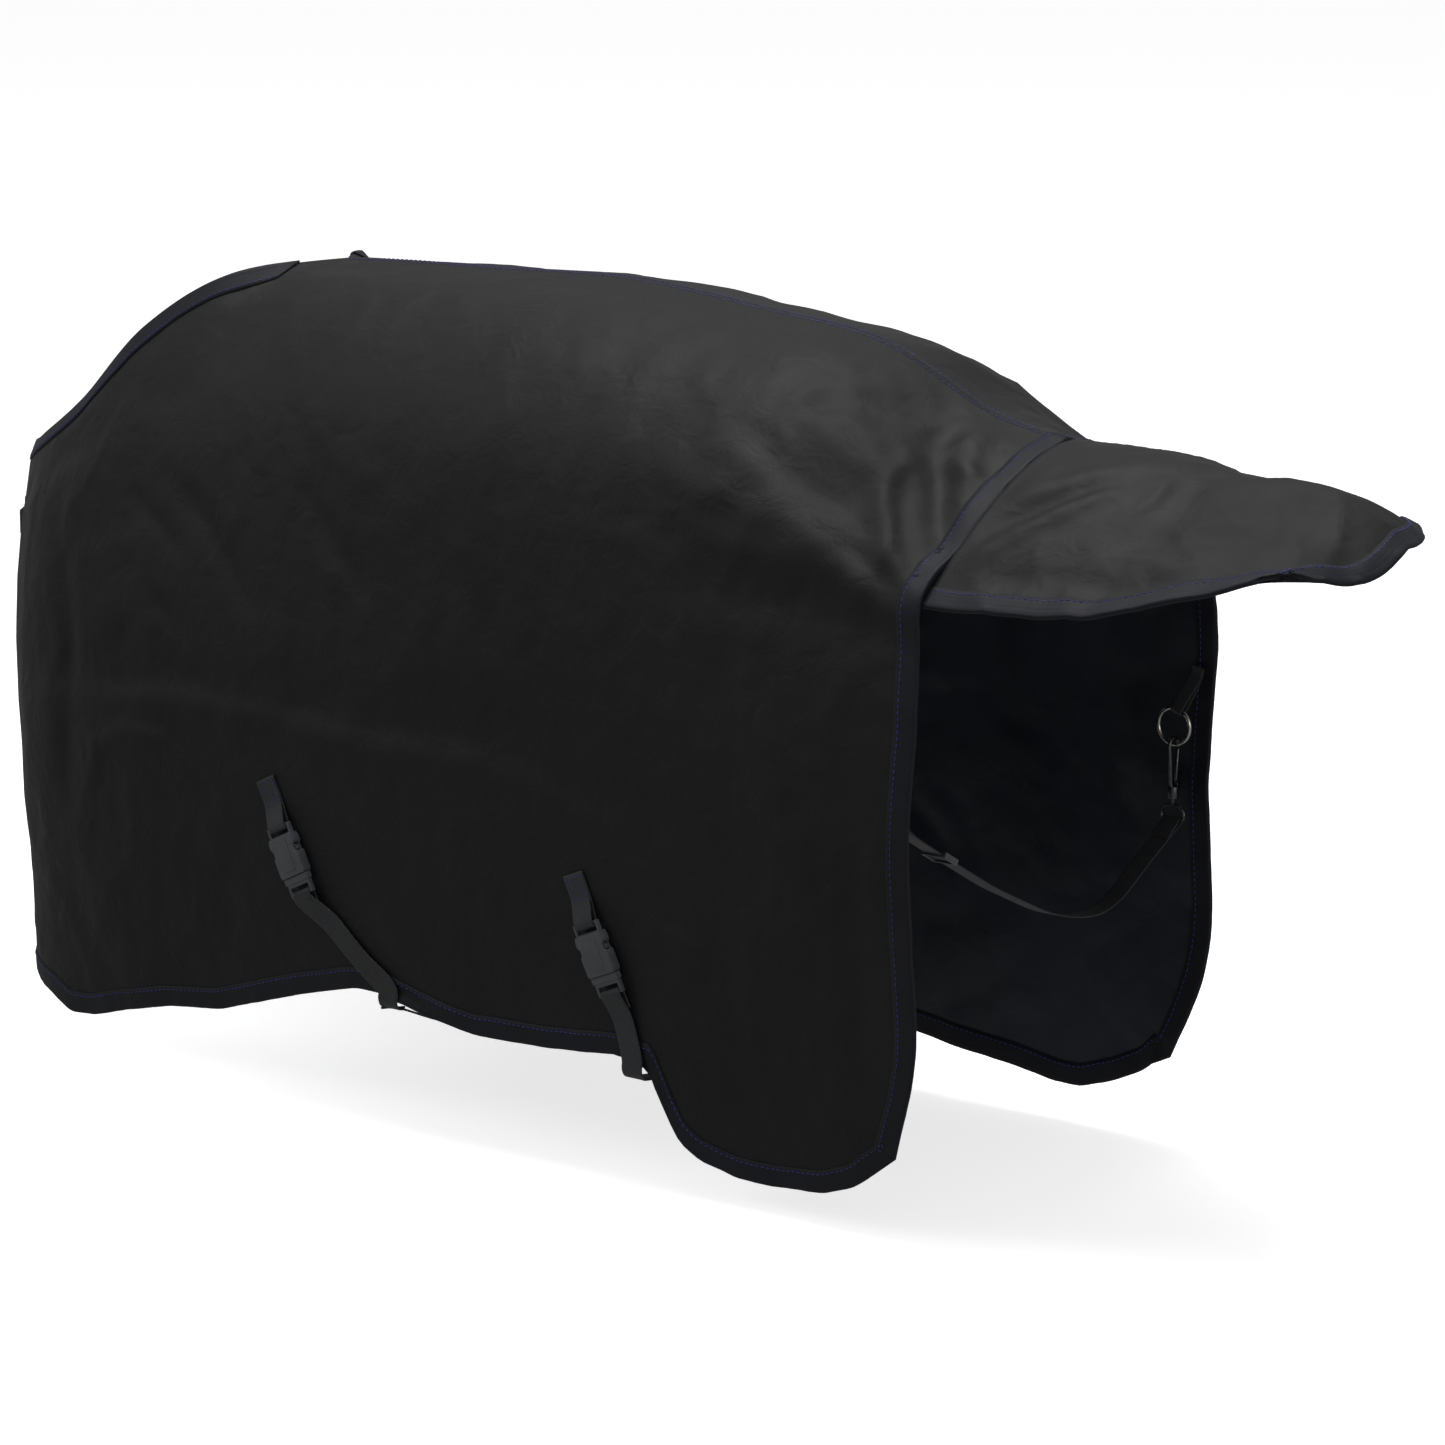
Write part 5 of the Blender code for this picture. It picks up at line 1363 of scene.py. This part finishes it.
# Creases of each half, in (x, z) of the layout
FOLDS: dict[Side, list[Fold]] = {
    Side.LEFT: [
        Fold(((-0.30, 0.735), (-0.162, 0.720), (-0.086, 0.706), (-0.006, 0.682)), 0.0080, 0.020),
        Fold(((-0.30, 0.690), (-0.16, 0.676), (-0.01, 0.640)), -0.0050, 0.030),
        Fold(((-0.012, 0.696), (-0.10, 0.785), (-0.207, 0.873)), 0.0095, 0.015),
        Fold(((-0.030, 0.700), (-0.13, 0.765), (-0.26, 0.840)), -0.0100, 0.014),
        Fold(((-0.008, 0.735), (-0.085, 0.815), (-0.155, 0.876)), -0.0085, 0.010),
        Fold(((-0.006, 0.765), (-0.055, 0.812), (-0.110, 0.858)), 0.0060, 0.009),
        Fold(((-0.010, 0.712), (-0.060, 0.752), (-0.105, 0.800)), -0.0060, 0.007),
        Fold(((-0.040, 0.722), (-0.110, 0.752), (-0.190, 0.790)), 0.0055, 0.008),
        Fold(((-0.140, 0.850), (-0.185, 0.868), (-0.235, 0.868)), -0.0060, 0.010),
        Fold(((-0.120, 0.800), (-0.185, 0.835), (-0.250, 0.875)), 0.0050, 0.010),
        Fold(((-0.070, 0.712), (-0.20, 0.762), (-0.36, 0.800)), 0.0050, 0.016),
        Fold(((-0.110, 0.700), (-0.24, 0.728), (-0.40, 0.745)), -0.0040, 0.018),
        Fold(((-1.182, 0.676), (-1.099, 0.622)), -0.0045, 0.013),
        Fold(((-1.108, 0.700), (-1.03, 0.640), (-0.96, 0.571)), -0.0060, 0.017),
        Fold(((-0.879, 0.710), (-0.782, 0.611)), -0.0055, 0.016),
        Fold(((-1.140, 0.569), (-1.082, 0.523)), -0.0040, 0.013),
        Fold(((-1.390, 0.414), (-1.082, 0.456), (-0.816, 0.448), (-0.56, 0.447), (-0.437, 0.412)),
             -0.0075, 0.011, ledge=True),
        Fold(((-1.250, 0.320), (-1.237, 0.369), (-1.175, 0.392), (-1.114, 0.390), (-1.06, 0.351)),
             0.0045, 0.012),
        Fold(((-0.337, 0.284), (-0.269, 0.256)), 0.0050, 0.012),
        Fold(((-0.390, 0.207), (-0.343, 0.141)), 0.0050, 0.012),
        Fold(((-0.820, 0.235), (-0.792, 0.190)), -0.0040, 0.010),
        Fold(((-1.330, 0.640), (-1.290, 0.500), (-1.300, 0.300)), -0.0050, 0.022),
        Fold(((-0.620, 0.660), (-0.560, 0.560)), -0.0035, 0.018),
        Fold(((-0.200, 0.560), (-0.120, 0.330)), 0.0040, 0.030),
        Fold(((-0.050, 0.600), (-0.070, 0.350), (-0.060, 0.160)), -0.0040, 0.022),
    ],
    Side.RIGHT: [
        Fold(((-0.28, 0.745), (-0.15, 0.722), (-0.006, 0.690)), 0.0070, 0.020),
        Fold(((-0.012, 0.700), (-0.12, 0.790), (-0.22, 0.870)), 0.0070, 0.018),
        Fold(((-0.030, 0.705), (-0.15, 0.765), (-0.28, 0.835)), -0.0070, 0.018),
        Fold(((-1.170, 0.690), (-1.060, 0.600), (-0.98, 0.540)), -0.0050, 0.018),
        Fold(((-0.860, 0.690), (-0.760, 0.590)), -0.0050, 0.017),
        Fold(((-1.350, 0.430), (-1.000, 0.470), (-0.60, 0.440), (-0.40, 0.460)), -0.0060, 0.012,
             ledge=True),
        Fold(((-0.460, 0.330), (-0.360, 0.250)), 0.0045, 0.014),
        Fold(((-1.220, 0.330), (-1.160, 0.400), (-1.060, 0.370)), 0.0040, 0.013),
        Fold(((-0.180, 0.560), (-0.110, 0.300)), 0.0040, 0.028),
        Fold(((-0.620, 0.640), (-0.560, 0.530)), -0.0040, 0.018),
    ],
}

# Creases of the flap, in (x, y) of the layout
FLAP_FOLDS = [
    Fold(((0.012, -0.222), (0.073, -0.165), (0.135, -0.098)), 0.0075, 0.014),
    Fold(((0.012, -0.180), (0.085, -0.120), (0.155, -0.050)), -0.0065, 0.016),
    Fold(((0.020, -0.140), (0.120, -0.070), (0.210, 0.000)), 0.0045, 0.018),
    Fold(((0.030, -0.236), (0.150, -0.215), (0.270, -0.196)), -0.0045, 0.016),
    Fold(((0.200, -0.150), (0.300, -0.120), (0.400, -0.060)), -0.0040, 0.018),
    Fold(((0.230, -0.050), (0.330, 0.010), (0.420, 0.050)), 0.0040, 0.018),
    Fold(((0.012, 0.200), (0.080, 0.140), (0.160, 0.070)), 0.0055, 0.015),
    Fold(((0.040, 0.220), (0.160, 0.190), (0.260, 0.180)), -0.0045, 0.016),
]

# Where fittings are sewn on, as lines in (x, z) with the radius over which the cloth lies true
ANCHORS: dict[Side, list[tuple[list[tuple[float, float]], float]]] = {
    Side.LEFT: [
        ([(-0.940, 0.385), (-0.893, 0.277), (-0.790, 0.166), (-0.757, 0.130)], 0.055),
        ([(-0.462, 0.340), (-0.421, 0.235), (-0.388, 0.125)], 0.055),
        ([(-0.046, 0.530), (-0.046, 0.480)], 0.045),
        ([(-1.555, 0.620), (-1.555, 0.370)], 0.130),
    ],
    Side.RIGHT: [
        ([(-0.667, 0.110), (-0.651, 0.285)], 0.050),
        ([(-0.530, 0.085), (-0.550, 0.265)], 0.050),
        ([(-0.031, 0.450), (-0.012, 0.540)], 0.050),
        ([(-1.555, 0.620), (-1.555, 0.370)], 0.150),
    ],
}

# Webbing: line and width directions in the layout
RUNS = [
    WebRun("front_belly_tab", 0.03, [
        (-0.9386, -0.293, 0.3702), (-0.9316, -0.2929, 0.3556), (-0.9251, -0.293, 0.342),
        (-0.9151, -0.3005, 0.3214), (-0.9129, -0.3013, 0.3167), (-0.9119, -0.3012, 0.3145),
        (-0.911, -0.3, 0.3128), (-0.9106, -0.297, 0.3124), (-0.9107, -0.294, 0.3131),
        (-0.9116, -0.293, 0.3149), (-0.9126, -0.2931, 0.3171), (-0.9148, -0.2929, 0.3218),
        (-0.925, -0.2905, 0.3421), (-0.9315, -0.291, 0.3557), (-0.9385, -0.2911, 0.3702),
    ], [
        (0.901, -0.054, 0.43),
    ]),
    WebRun("front_belly_strap", 0.03, [
        (-0.8673, -0.2898, 0.2226), (-0.8716, -0.2902, 0.2316), (-0.8762, -0.2908, 0.2412),
        (-0.8772, -0.2909, 0.2432), (-0.8782, -0.292, 0.2451), (-0.8786, -0.295, 0.2456),
        (-0.8784, -0.298, 0.2448), (-0.8775, -0.2991, 0.2428), (-0.8765, -0.299, 0.2408),
        (-0.8732, -0.2977, 0.234), (-0.8421, -0.2879, 0.2114), (-0.8181, -0.2856, 0.1895),
        (-0.7901, -0.2844, 0.1665), (-0.757, -0.2834, 0.1443), (-0.757, -0.2834, 0.1303),
        (-0.757, -0.2804, 0.1223), (-0.757, -0.2749, 0.1188), (-0.757, -0.2629, 0.1168),
        (-0.738, -0.2, 0.09), (-0.718, -0.12, 0.076), (-0.698, 0.0, 0.07), (-0.684, 0.12, 0.076),
        (-0.674, 0.2, 0.086), (-0.667, 0.2616, 0.1027), (-0.667, 0.2736, 0.1047),
        (-0.667, 0.2791, 0.1082), (-0.667, 0.2821, 0.1162), (-0.667, 0.2821, 0.1302),
        (-0.663, 0.2817, 0.1597), (-0.659, 0.2854, 0.1947), (-0.655, 0.2895, 0.2347),
        (-0.651, 0.2925, 0.2698),
    ], [
        *[(0.901, -0.054, 0.43)] * 10, (0.637, -0.08, 0.767), (0.655, -0.079, 0.751),
        (0.595, -0.082, 0.8), (0.737, 0.0, 0.675), *[(1.0, 0.0, 0.0)] * 3, (0.969, -0.246, 0.0),
        (0.965, -0.263, 0.0), (0.981, -0.196, 0.0), (0.99, -0.14, 0.0),
        *[(0.993, -0.119, 0.0)] * 2, (0.996, -0.095, 0.0), *[(1.0, -0.0, 0.0)] * 3,
        (0.996, 0.0, -0.091), (0.992, -0.01, -0.123), (0.994, -0.008, -0.105),
        (0.994, 0.003, -0.106), (0.994, 0.001, -0.114),
    ]),
    WebRun("rear_belly_tab", 0.03, [
        (-0.4608, -0.2996, 0.3303), (-0.4547, -0.2987, 0.3156), (-0.449, -0.2985, 0.3018),
        (-0.4402, -0.3058, 0.2806), (-0.4382, -0.3063, 0.2758), (-0.4373, -0.3061, 0.2736),
        (-0.4365, -0.3048, 0.2718), (-0.4363, -0.3017, 0.2716), (-0.4365, -0.2988, 0.2724),
        (-0.4372, -0.2979, 0.2744), (-0.4382, -0.2981, 0.2766), (-0.4401, -0.2983, 0.2814),
        (-0.449, -0.296, 0.3019), (-0.4547, -0.2968, 0.3157), (-0.4608, -0.2978, 0.3304),
    ], [
        (0.924, -0.043, 0.38),
    ]),
    WebRun("rear_belly_strap", 0.03, [
        (-0.3981, -0.2883, 0.1802), (-0.4019, -0.2894, 0.1894), (-0.406, -0.2906, 0.1991),
        (-0.4068, -0.2908, 0.2011), (-0.4077, -0.2921, 0.2031), (-0.408, -0.2952, 0.2034),
        (-0.4077, -0.2981, 0.2025), (-0.4069, -0.299, 0.2003), (-0.406, -0.2988, 0.1983),
        (-0.4031, -0.297, 0.1914), (-0.3969, -0.2874, 0.1693), (-0.388, -0.2828, 0.1249),
        (-0.388, -0.2828, 0.1109), (-0.388, -0.2798, 0.1029), (-0.388, -0.2743, 0.0994),
        (-0.388, -0.2623, 0.0974), (-0.4, -0.2, 0.086), (-0.42, -0.12, 0.074),
        (-0.445, 0.0, 0.066), (-0.48, 0.12, 0.062), (-0.51, 0.2, 0.064), (-0.53, 0.258, 0.0712),
        (-0.53, 0.27, 0.0732), (-0.53, 0.2755, 0.0767), (-0.53, 0.2785, 0.0847),
        (-0.53, 0.2785, 0.0987), (-0.536, 0.2782, 0.1247), (-0.54, 0.2828, 0.1647),
        (-0.545, 0.2881, 0.2097), (-0.55, 0.2918, 0.2498),
    ], [
        *[(0.924, -0.043, 0.38)] * 10, (0.975, -0.008, 0.22), (0.989, 0.0, 0.151),
        *[(1.0, 0.0, 0.0)] * 3, (0.987, 0.159, 0.0), (0.976, 0.219, 0.0), (0.976, 0.22, 0.0),
        (0.97, 0.243, 0.0), (0.951, 0.309, 0.0), (0.94, 0.341, 0.0), (0.962, 0.275, 0.0),
        *[(1.0, -0.0, 0.0)] * 3, (0.989, -0.0, 0.149), (0.989, 0.019, 0.149),
        (0.994, 0.014, 0.104), (0.993, 0.025, 0.114), (0.992, 0.014, 0.122),
    ]),
    WebRun("upper_chest_tab", 0.03, [
        (-1.5102, -0.1196, 0.5851), (-1.5207, -0.1036, 0.5851), (-1.5306, -0.0888, 0.586),
        (-1.5718, -0.05, 0.585), (-1.5727, -0.0448, 0.585), (-1.5727, -0.0424, 0.585),
        (-1.5716, -0.0404, 0.585), (-1.5686, -0.0398, 0.585), (-1.5656, -0.0404, 0.585),
        (-1.5645, -0.0424, 0.585), (-1.5645, -0.0448, 0.585), (-1.5642, -0.05, 0.585),
        (-1.5285, -0.0875, 0.5857), (-1.5191, -0.1026, 0.585), (-1.5086, -0.1186, 0.585),
    ], [
        (0.0, 0.0, -1.0),
    ]),
    WebRun("upper_chest_strap", 0.03, [
        (-1.564, 0.06, 0.585), (-1.5642, 0.05, 0.585), (-1.5645, 0.0394, 0.585),
        (-1.5645, 0.0372, 0.585), (-1.5656, 0.035, 0.585), (-1.5686, 0.0343, 0.585),
        (-1.5716, 0.035, 0.585), (-1.5727, 0.0372, 0.585), (-1.5727, 0.0394, 0.585),
        (-1.5716, 0.047, 0.585), (-1.5347, 0.0779, 0.5854), (-1.5241, 0.0945, 0.5857),
        (-1.5125, 0.1126, 0.585), (-1.4977, 0.1333, 0.5852), (-1.478, 0.1533, 0.5852),
    ], [
        (0.0, 0.0, -1.0),
    ]),
    WebRun("lower_chest_tab", 0.03, [
        (-1.5113, -0.1187, 0.4098), (-1.5203, -0.1028, 0.4097), (-1.5293, -0.0881, 0.4097),
        (-1.5673, -0.05, 0.41), (-1.5682, -0.0448, 0.41), (-1.5682, -0.0424, 0.41),
        (-1.5671, -0.0404, 0.41), (-1.5641, -0.0398, 0.41), (-1.5611, -0.0404, 0.41),
        (-1.56, -0.0424, 0.41), (-1.56, -0.0448, 0.41), (-1.5597, -0.05, 0.41),
        (-1.5271, -0.0869, 0.4098), (-1.5186, -0.1019, 0.4098), (-1.5097, -0.1178, 0.4098),
    ], [
        (0.0, 0.0, -1.0),
    ]),
    WebRun("lower_chest_strap", 0.03, [
        (-1.5595, 0.06, 0.41), (-1.5597, 0.05, 0.41), (-1.56, 0.0394, 0.41), (-1.56, 0.0372, 0.41),
        (-1.5611, 0.035, 0.41), (-1.5641, 0.0343, 0.41), (-1.5671, 0.035, 0.41),
        (-1.5682, 0.0372, 0.41), (-1.5682, 0.0394, 0.41), (-1.5671, 0.047, 0.41),
        (-1.533, 0.0761, 0.4098), (-1.5232, 0.0939, 0.4098), (-1.5129, 0.1119, 0.4098),
        (-1.502, 0.1318, 0.4098), (-1.485, 0.1524, 0.4099),
    ], [
        (0.0, 0.0, -1.0),
    ]),
    WebRun("ring_tab", 0.016, [
        (-0.0119, 0.2802, 0.5325), (-0.0158, 0.2805, 0.5191), (-0.0242, 0.2577, 0.4874),
        (-0.0251, 0.2567, 0.4845), (-0.0259, 0.2577, 0.4815), (-0.0264, 0.2602, 0.4797),
        (-0.0265, 0.2634, 0.4795), (-0.026, 0.2661, 0.4812), (-0.0252, 0.2673, 0.484),
        (-0.0173, 0.2826, 0.5133), (-0.0118, 0.2821, 0.5325),
    ], [
        (-0.961, 0.0, 0.276),
    ]),
    WebRun("tail_strap", 0.025, [
        (-0.0463, -0.2866, 0.5246), (-0.0463, -0.2866, 0.505), (-0.0463, -0.2865, 0.485),
        (-0.037, -0.272, 0.461), (-0.03, -0.256, 0.4385), (-0.03, -0.233, 0.4215),
        (-0.03, -0.118, 0.355), (-0.03, -0.08, 0.335), (-0.03, -0.04, 0.316), (-0.03, 0.0, 0.2975),
        (-0.03, 0.04, 0.284), (-0.03, 0.08, 0.276), (-0.03, 0.113, 0.2755), (-0.03, 0.145, 0.2845),
        (-0.03, 0.18, 0.304), (-0.0305, 0.212, 0.323), (-0.031, 0.2645, 0.3512),
        (-0.031, 0.2654, 0.3531), (-0.031, 0.2649, 0.3553), (-0.031, 0.263, 0.3567),
        (-0.031, 0.261, 0.3567), (-0.031, 0.2507, 0.3489), (-0.031, 0.2363, 0.338),
    ], [
        (1.0, 0.0, 0.0),
    ]),
]


# ---------------------------------------------------------------- studio


@dataclass(frozen=True)
class Studio:
    """Pale floor and surround, soft light and the camera."""

    target: tuple[float, float, float] = (0.135, 0.0, -0.50465)
    azimuth: float = 38.95
    elevation: float = 12.36
    distance: float = 7.123
    lens: float = 153.0
    floor_z: float = -0.985

    def build(self) -> None:
        """Makes the floor, the surround, the lights and the camera."""
        self._surroundings()
        self._lamp("overhead", (-0.2, 0.3, 4.6), (0.0, 0.0, 0.0), 3.4, 215.0)
        self._lamp("front_left", (-4.0, -4.5, 3.2), (0.0, 0.0, -0.4), 3.0, 70.0)
        self._lamp("rear_low", (5.0, -1.0, 0.2), (0.0, 0.1, -0.5), 1.6, 26.0)
        self._camera()

    def _surroundings(self) -> None:
        """White floor with a wide plain surround that only the camera sees."""
        floor_mat, shader = shader_of("painted_floor",
                                      {"Roughness": 0.9, "Specular IOR Level": 0.1})
        shader.inputs["Base Color"].default_value = linear("#f6f6f6")
        shader.inputs["Emission Color"].default_value = (1, 1, 1, 1)
        shader.inputs["Emission Strength"].default_value = 0.72
        bpy.ops.mesh.primitive_plane_add(size=60, location=(0, 0, self.floor_z))
        floor = bpy.context.object
        floor.name = "floor"
        floor.data.materials.append(floor_mat)
        floor.visible_diffuse = False
        floor.visible_glossy = False
        world = bpy.context.scene.world or bpy.data.worlds.new("studio")
        bpy.context.scene.world = world
        world.use_nodes = True
        back = world.node_tree.nodes["Background"]
        back.inputs[0].default_value = (1, 1, 1, 1)
        back.inputs[1].default_value = 0.26
        glow = bpy.data.materials.new("white_surround")
        glow.use_nodes = True
        tree = glow.node_tree
        tree.nodes.remove(tree.nodes["Principled BSDF"])
        light = add_node(tree, "ShaderNodeEmission", {"Strength": 1.0})
        tree.links.new(light.outputs[0], tree.nodes["Material Output"].inputs[0])
        bpy.ops.mesh.primitive_uv_sphere_add(radius=29, segments=48, ring_count=24)
        dome = bpy.context.object
        dome.name = "surround"
        dome.data.materials.append(glow)
        dome.visible_diffuse = False
        dome.visible_glossy = False
        dome.visible_transmission = False
        dome.visible_shadow = False
        bpy.context.scene.view_settings.view_transform = "Standard"

    def _lamp(self, name: str, place: Sequence[float], aim: Sequence[float], size: float,
              power: float) -> None:
        """One soft square lamp."""
        data = bpy.data.lights.new(name, "AREA")
        data.size = size
        data.energy = power
        lamp = bpy.data.objects.new(name, data)
        lamp.location = place
        lamp.rotation_euler = (Vector(aim) - Vector(place)).to_track_quat("-Z", "Y").to_euler()
        bpy.context.scene.collection.objects.link(lamp)

    def _camera(self) -> None:
        """The camera, three quarters from behind on the left."""
        a, e = math.radians(self.azimuth), math.radians(self.elevation)
        back = Vector((math.sin(a) * math.cos(e), -math.cos(a) * math.cos(e), math.sin(e)))
        data = bpy.data.cameras.new("camera")
        data.lens = self.lens
        data.sensor_width = 36.0
        data.clip_end = 200.0
        cam = bpy.data.objects.new("camera", data)
        cam.location = Vector(self.target) + back * self.distance
        cam.rotation_euler = (-back).to_track_quat("-Z", "Y").to_euler()
        bpy.context.scene.collection.objects.link(cam)
        bpy.context.scene.camera = cam


# ---------------------------------------------------------------- the rug


def tree_of(obj: bpy.types.Object) -> BVHTree:
    """Search tree of an object's mesh in layout coordinates."""
    verts = [v.co + ORIGIN for v in obj.data.vertices]
    return BVHTree.FromPolygons(verts, [tuple(p.vertices) for p in obj.data.polygons])


def main(frame: dict[str, Any]) -> None:
    """Builds the rug round the frame.
    """
    logging.basicConfig(level=logging.INFO, format="%(name)s %(message)s")
    finishes = Finishes()
    Studio().build()
    halves = {}
    for side in Side:
        cad = tree_of(frame["nodes"][f"{side.word}_outer_panel"])
        halves[side] = PanelHalf(side, cad)
        halves[side].build(finishes)
    TailFlap().build(finishes)
    outer = [tree_of(halves[side].pieces[0]) for side in Side]
    inner = [tree_of(halves[side].pieces[1]) for side in Side]
    for run in RUNS:
        inside = run.name in ("tail_strap", "ring_tab")
        cloth = inner if inside else outer
        run.build(finishes, cloth)
        if run.name.endswith("_tab"):
            run.sewn_box(finishes, cloth, True)
        LOG.info("%s", run.name)
    Fittings(frame, finishes).build()


if __name__ == "__main__":
    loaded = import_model()
    main(loaded)
    bpy.context.view_layer.update()
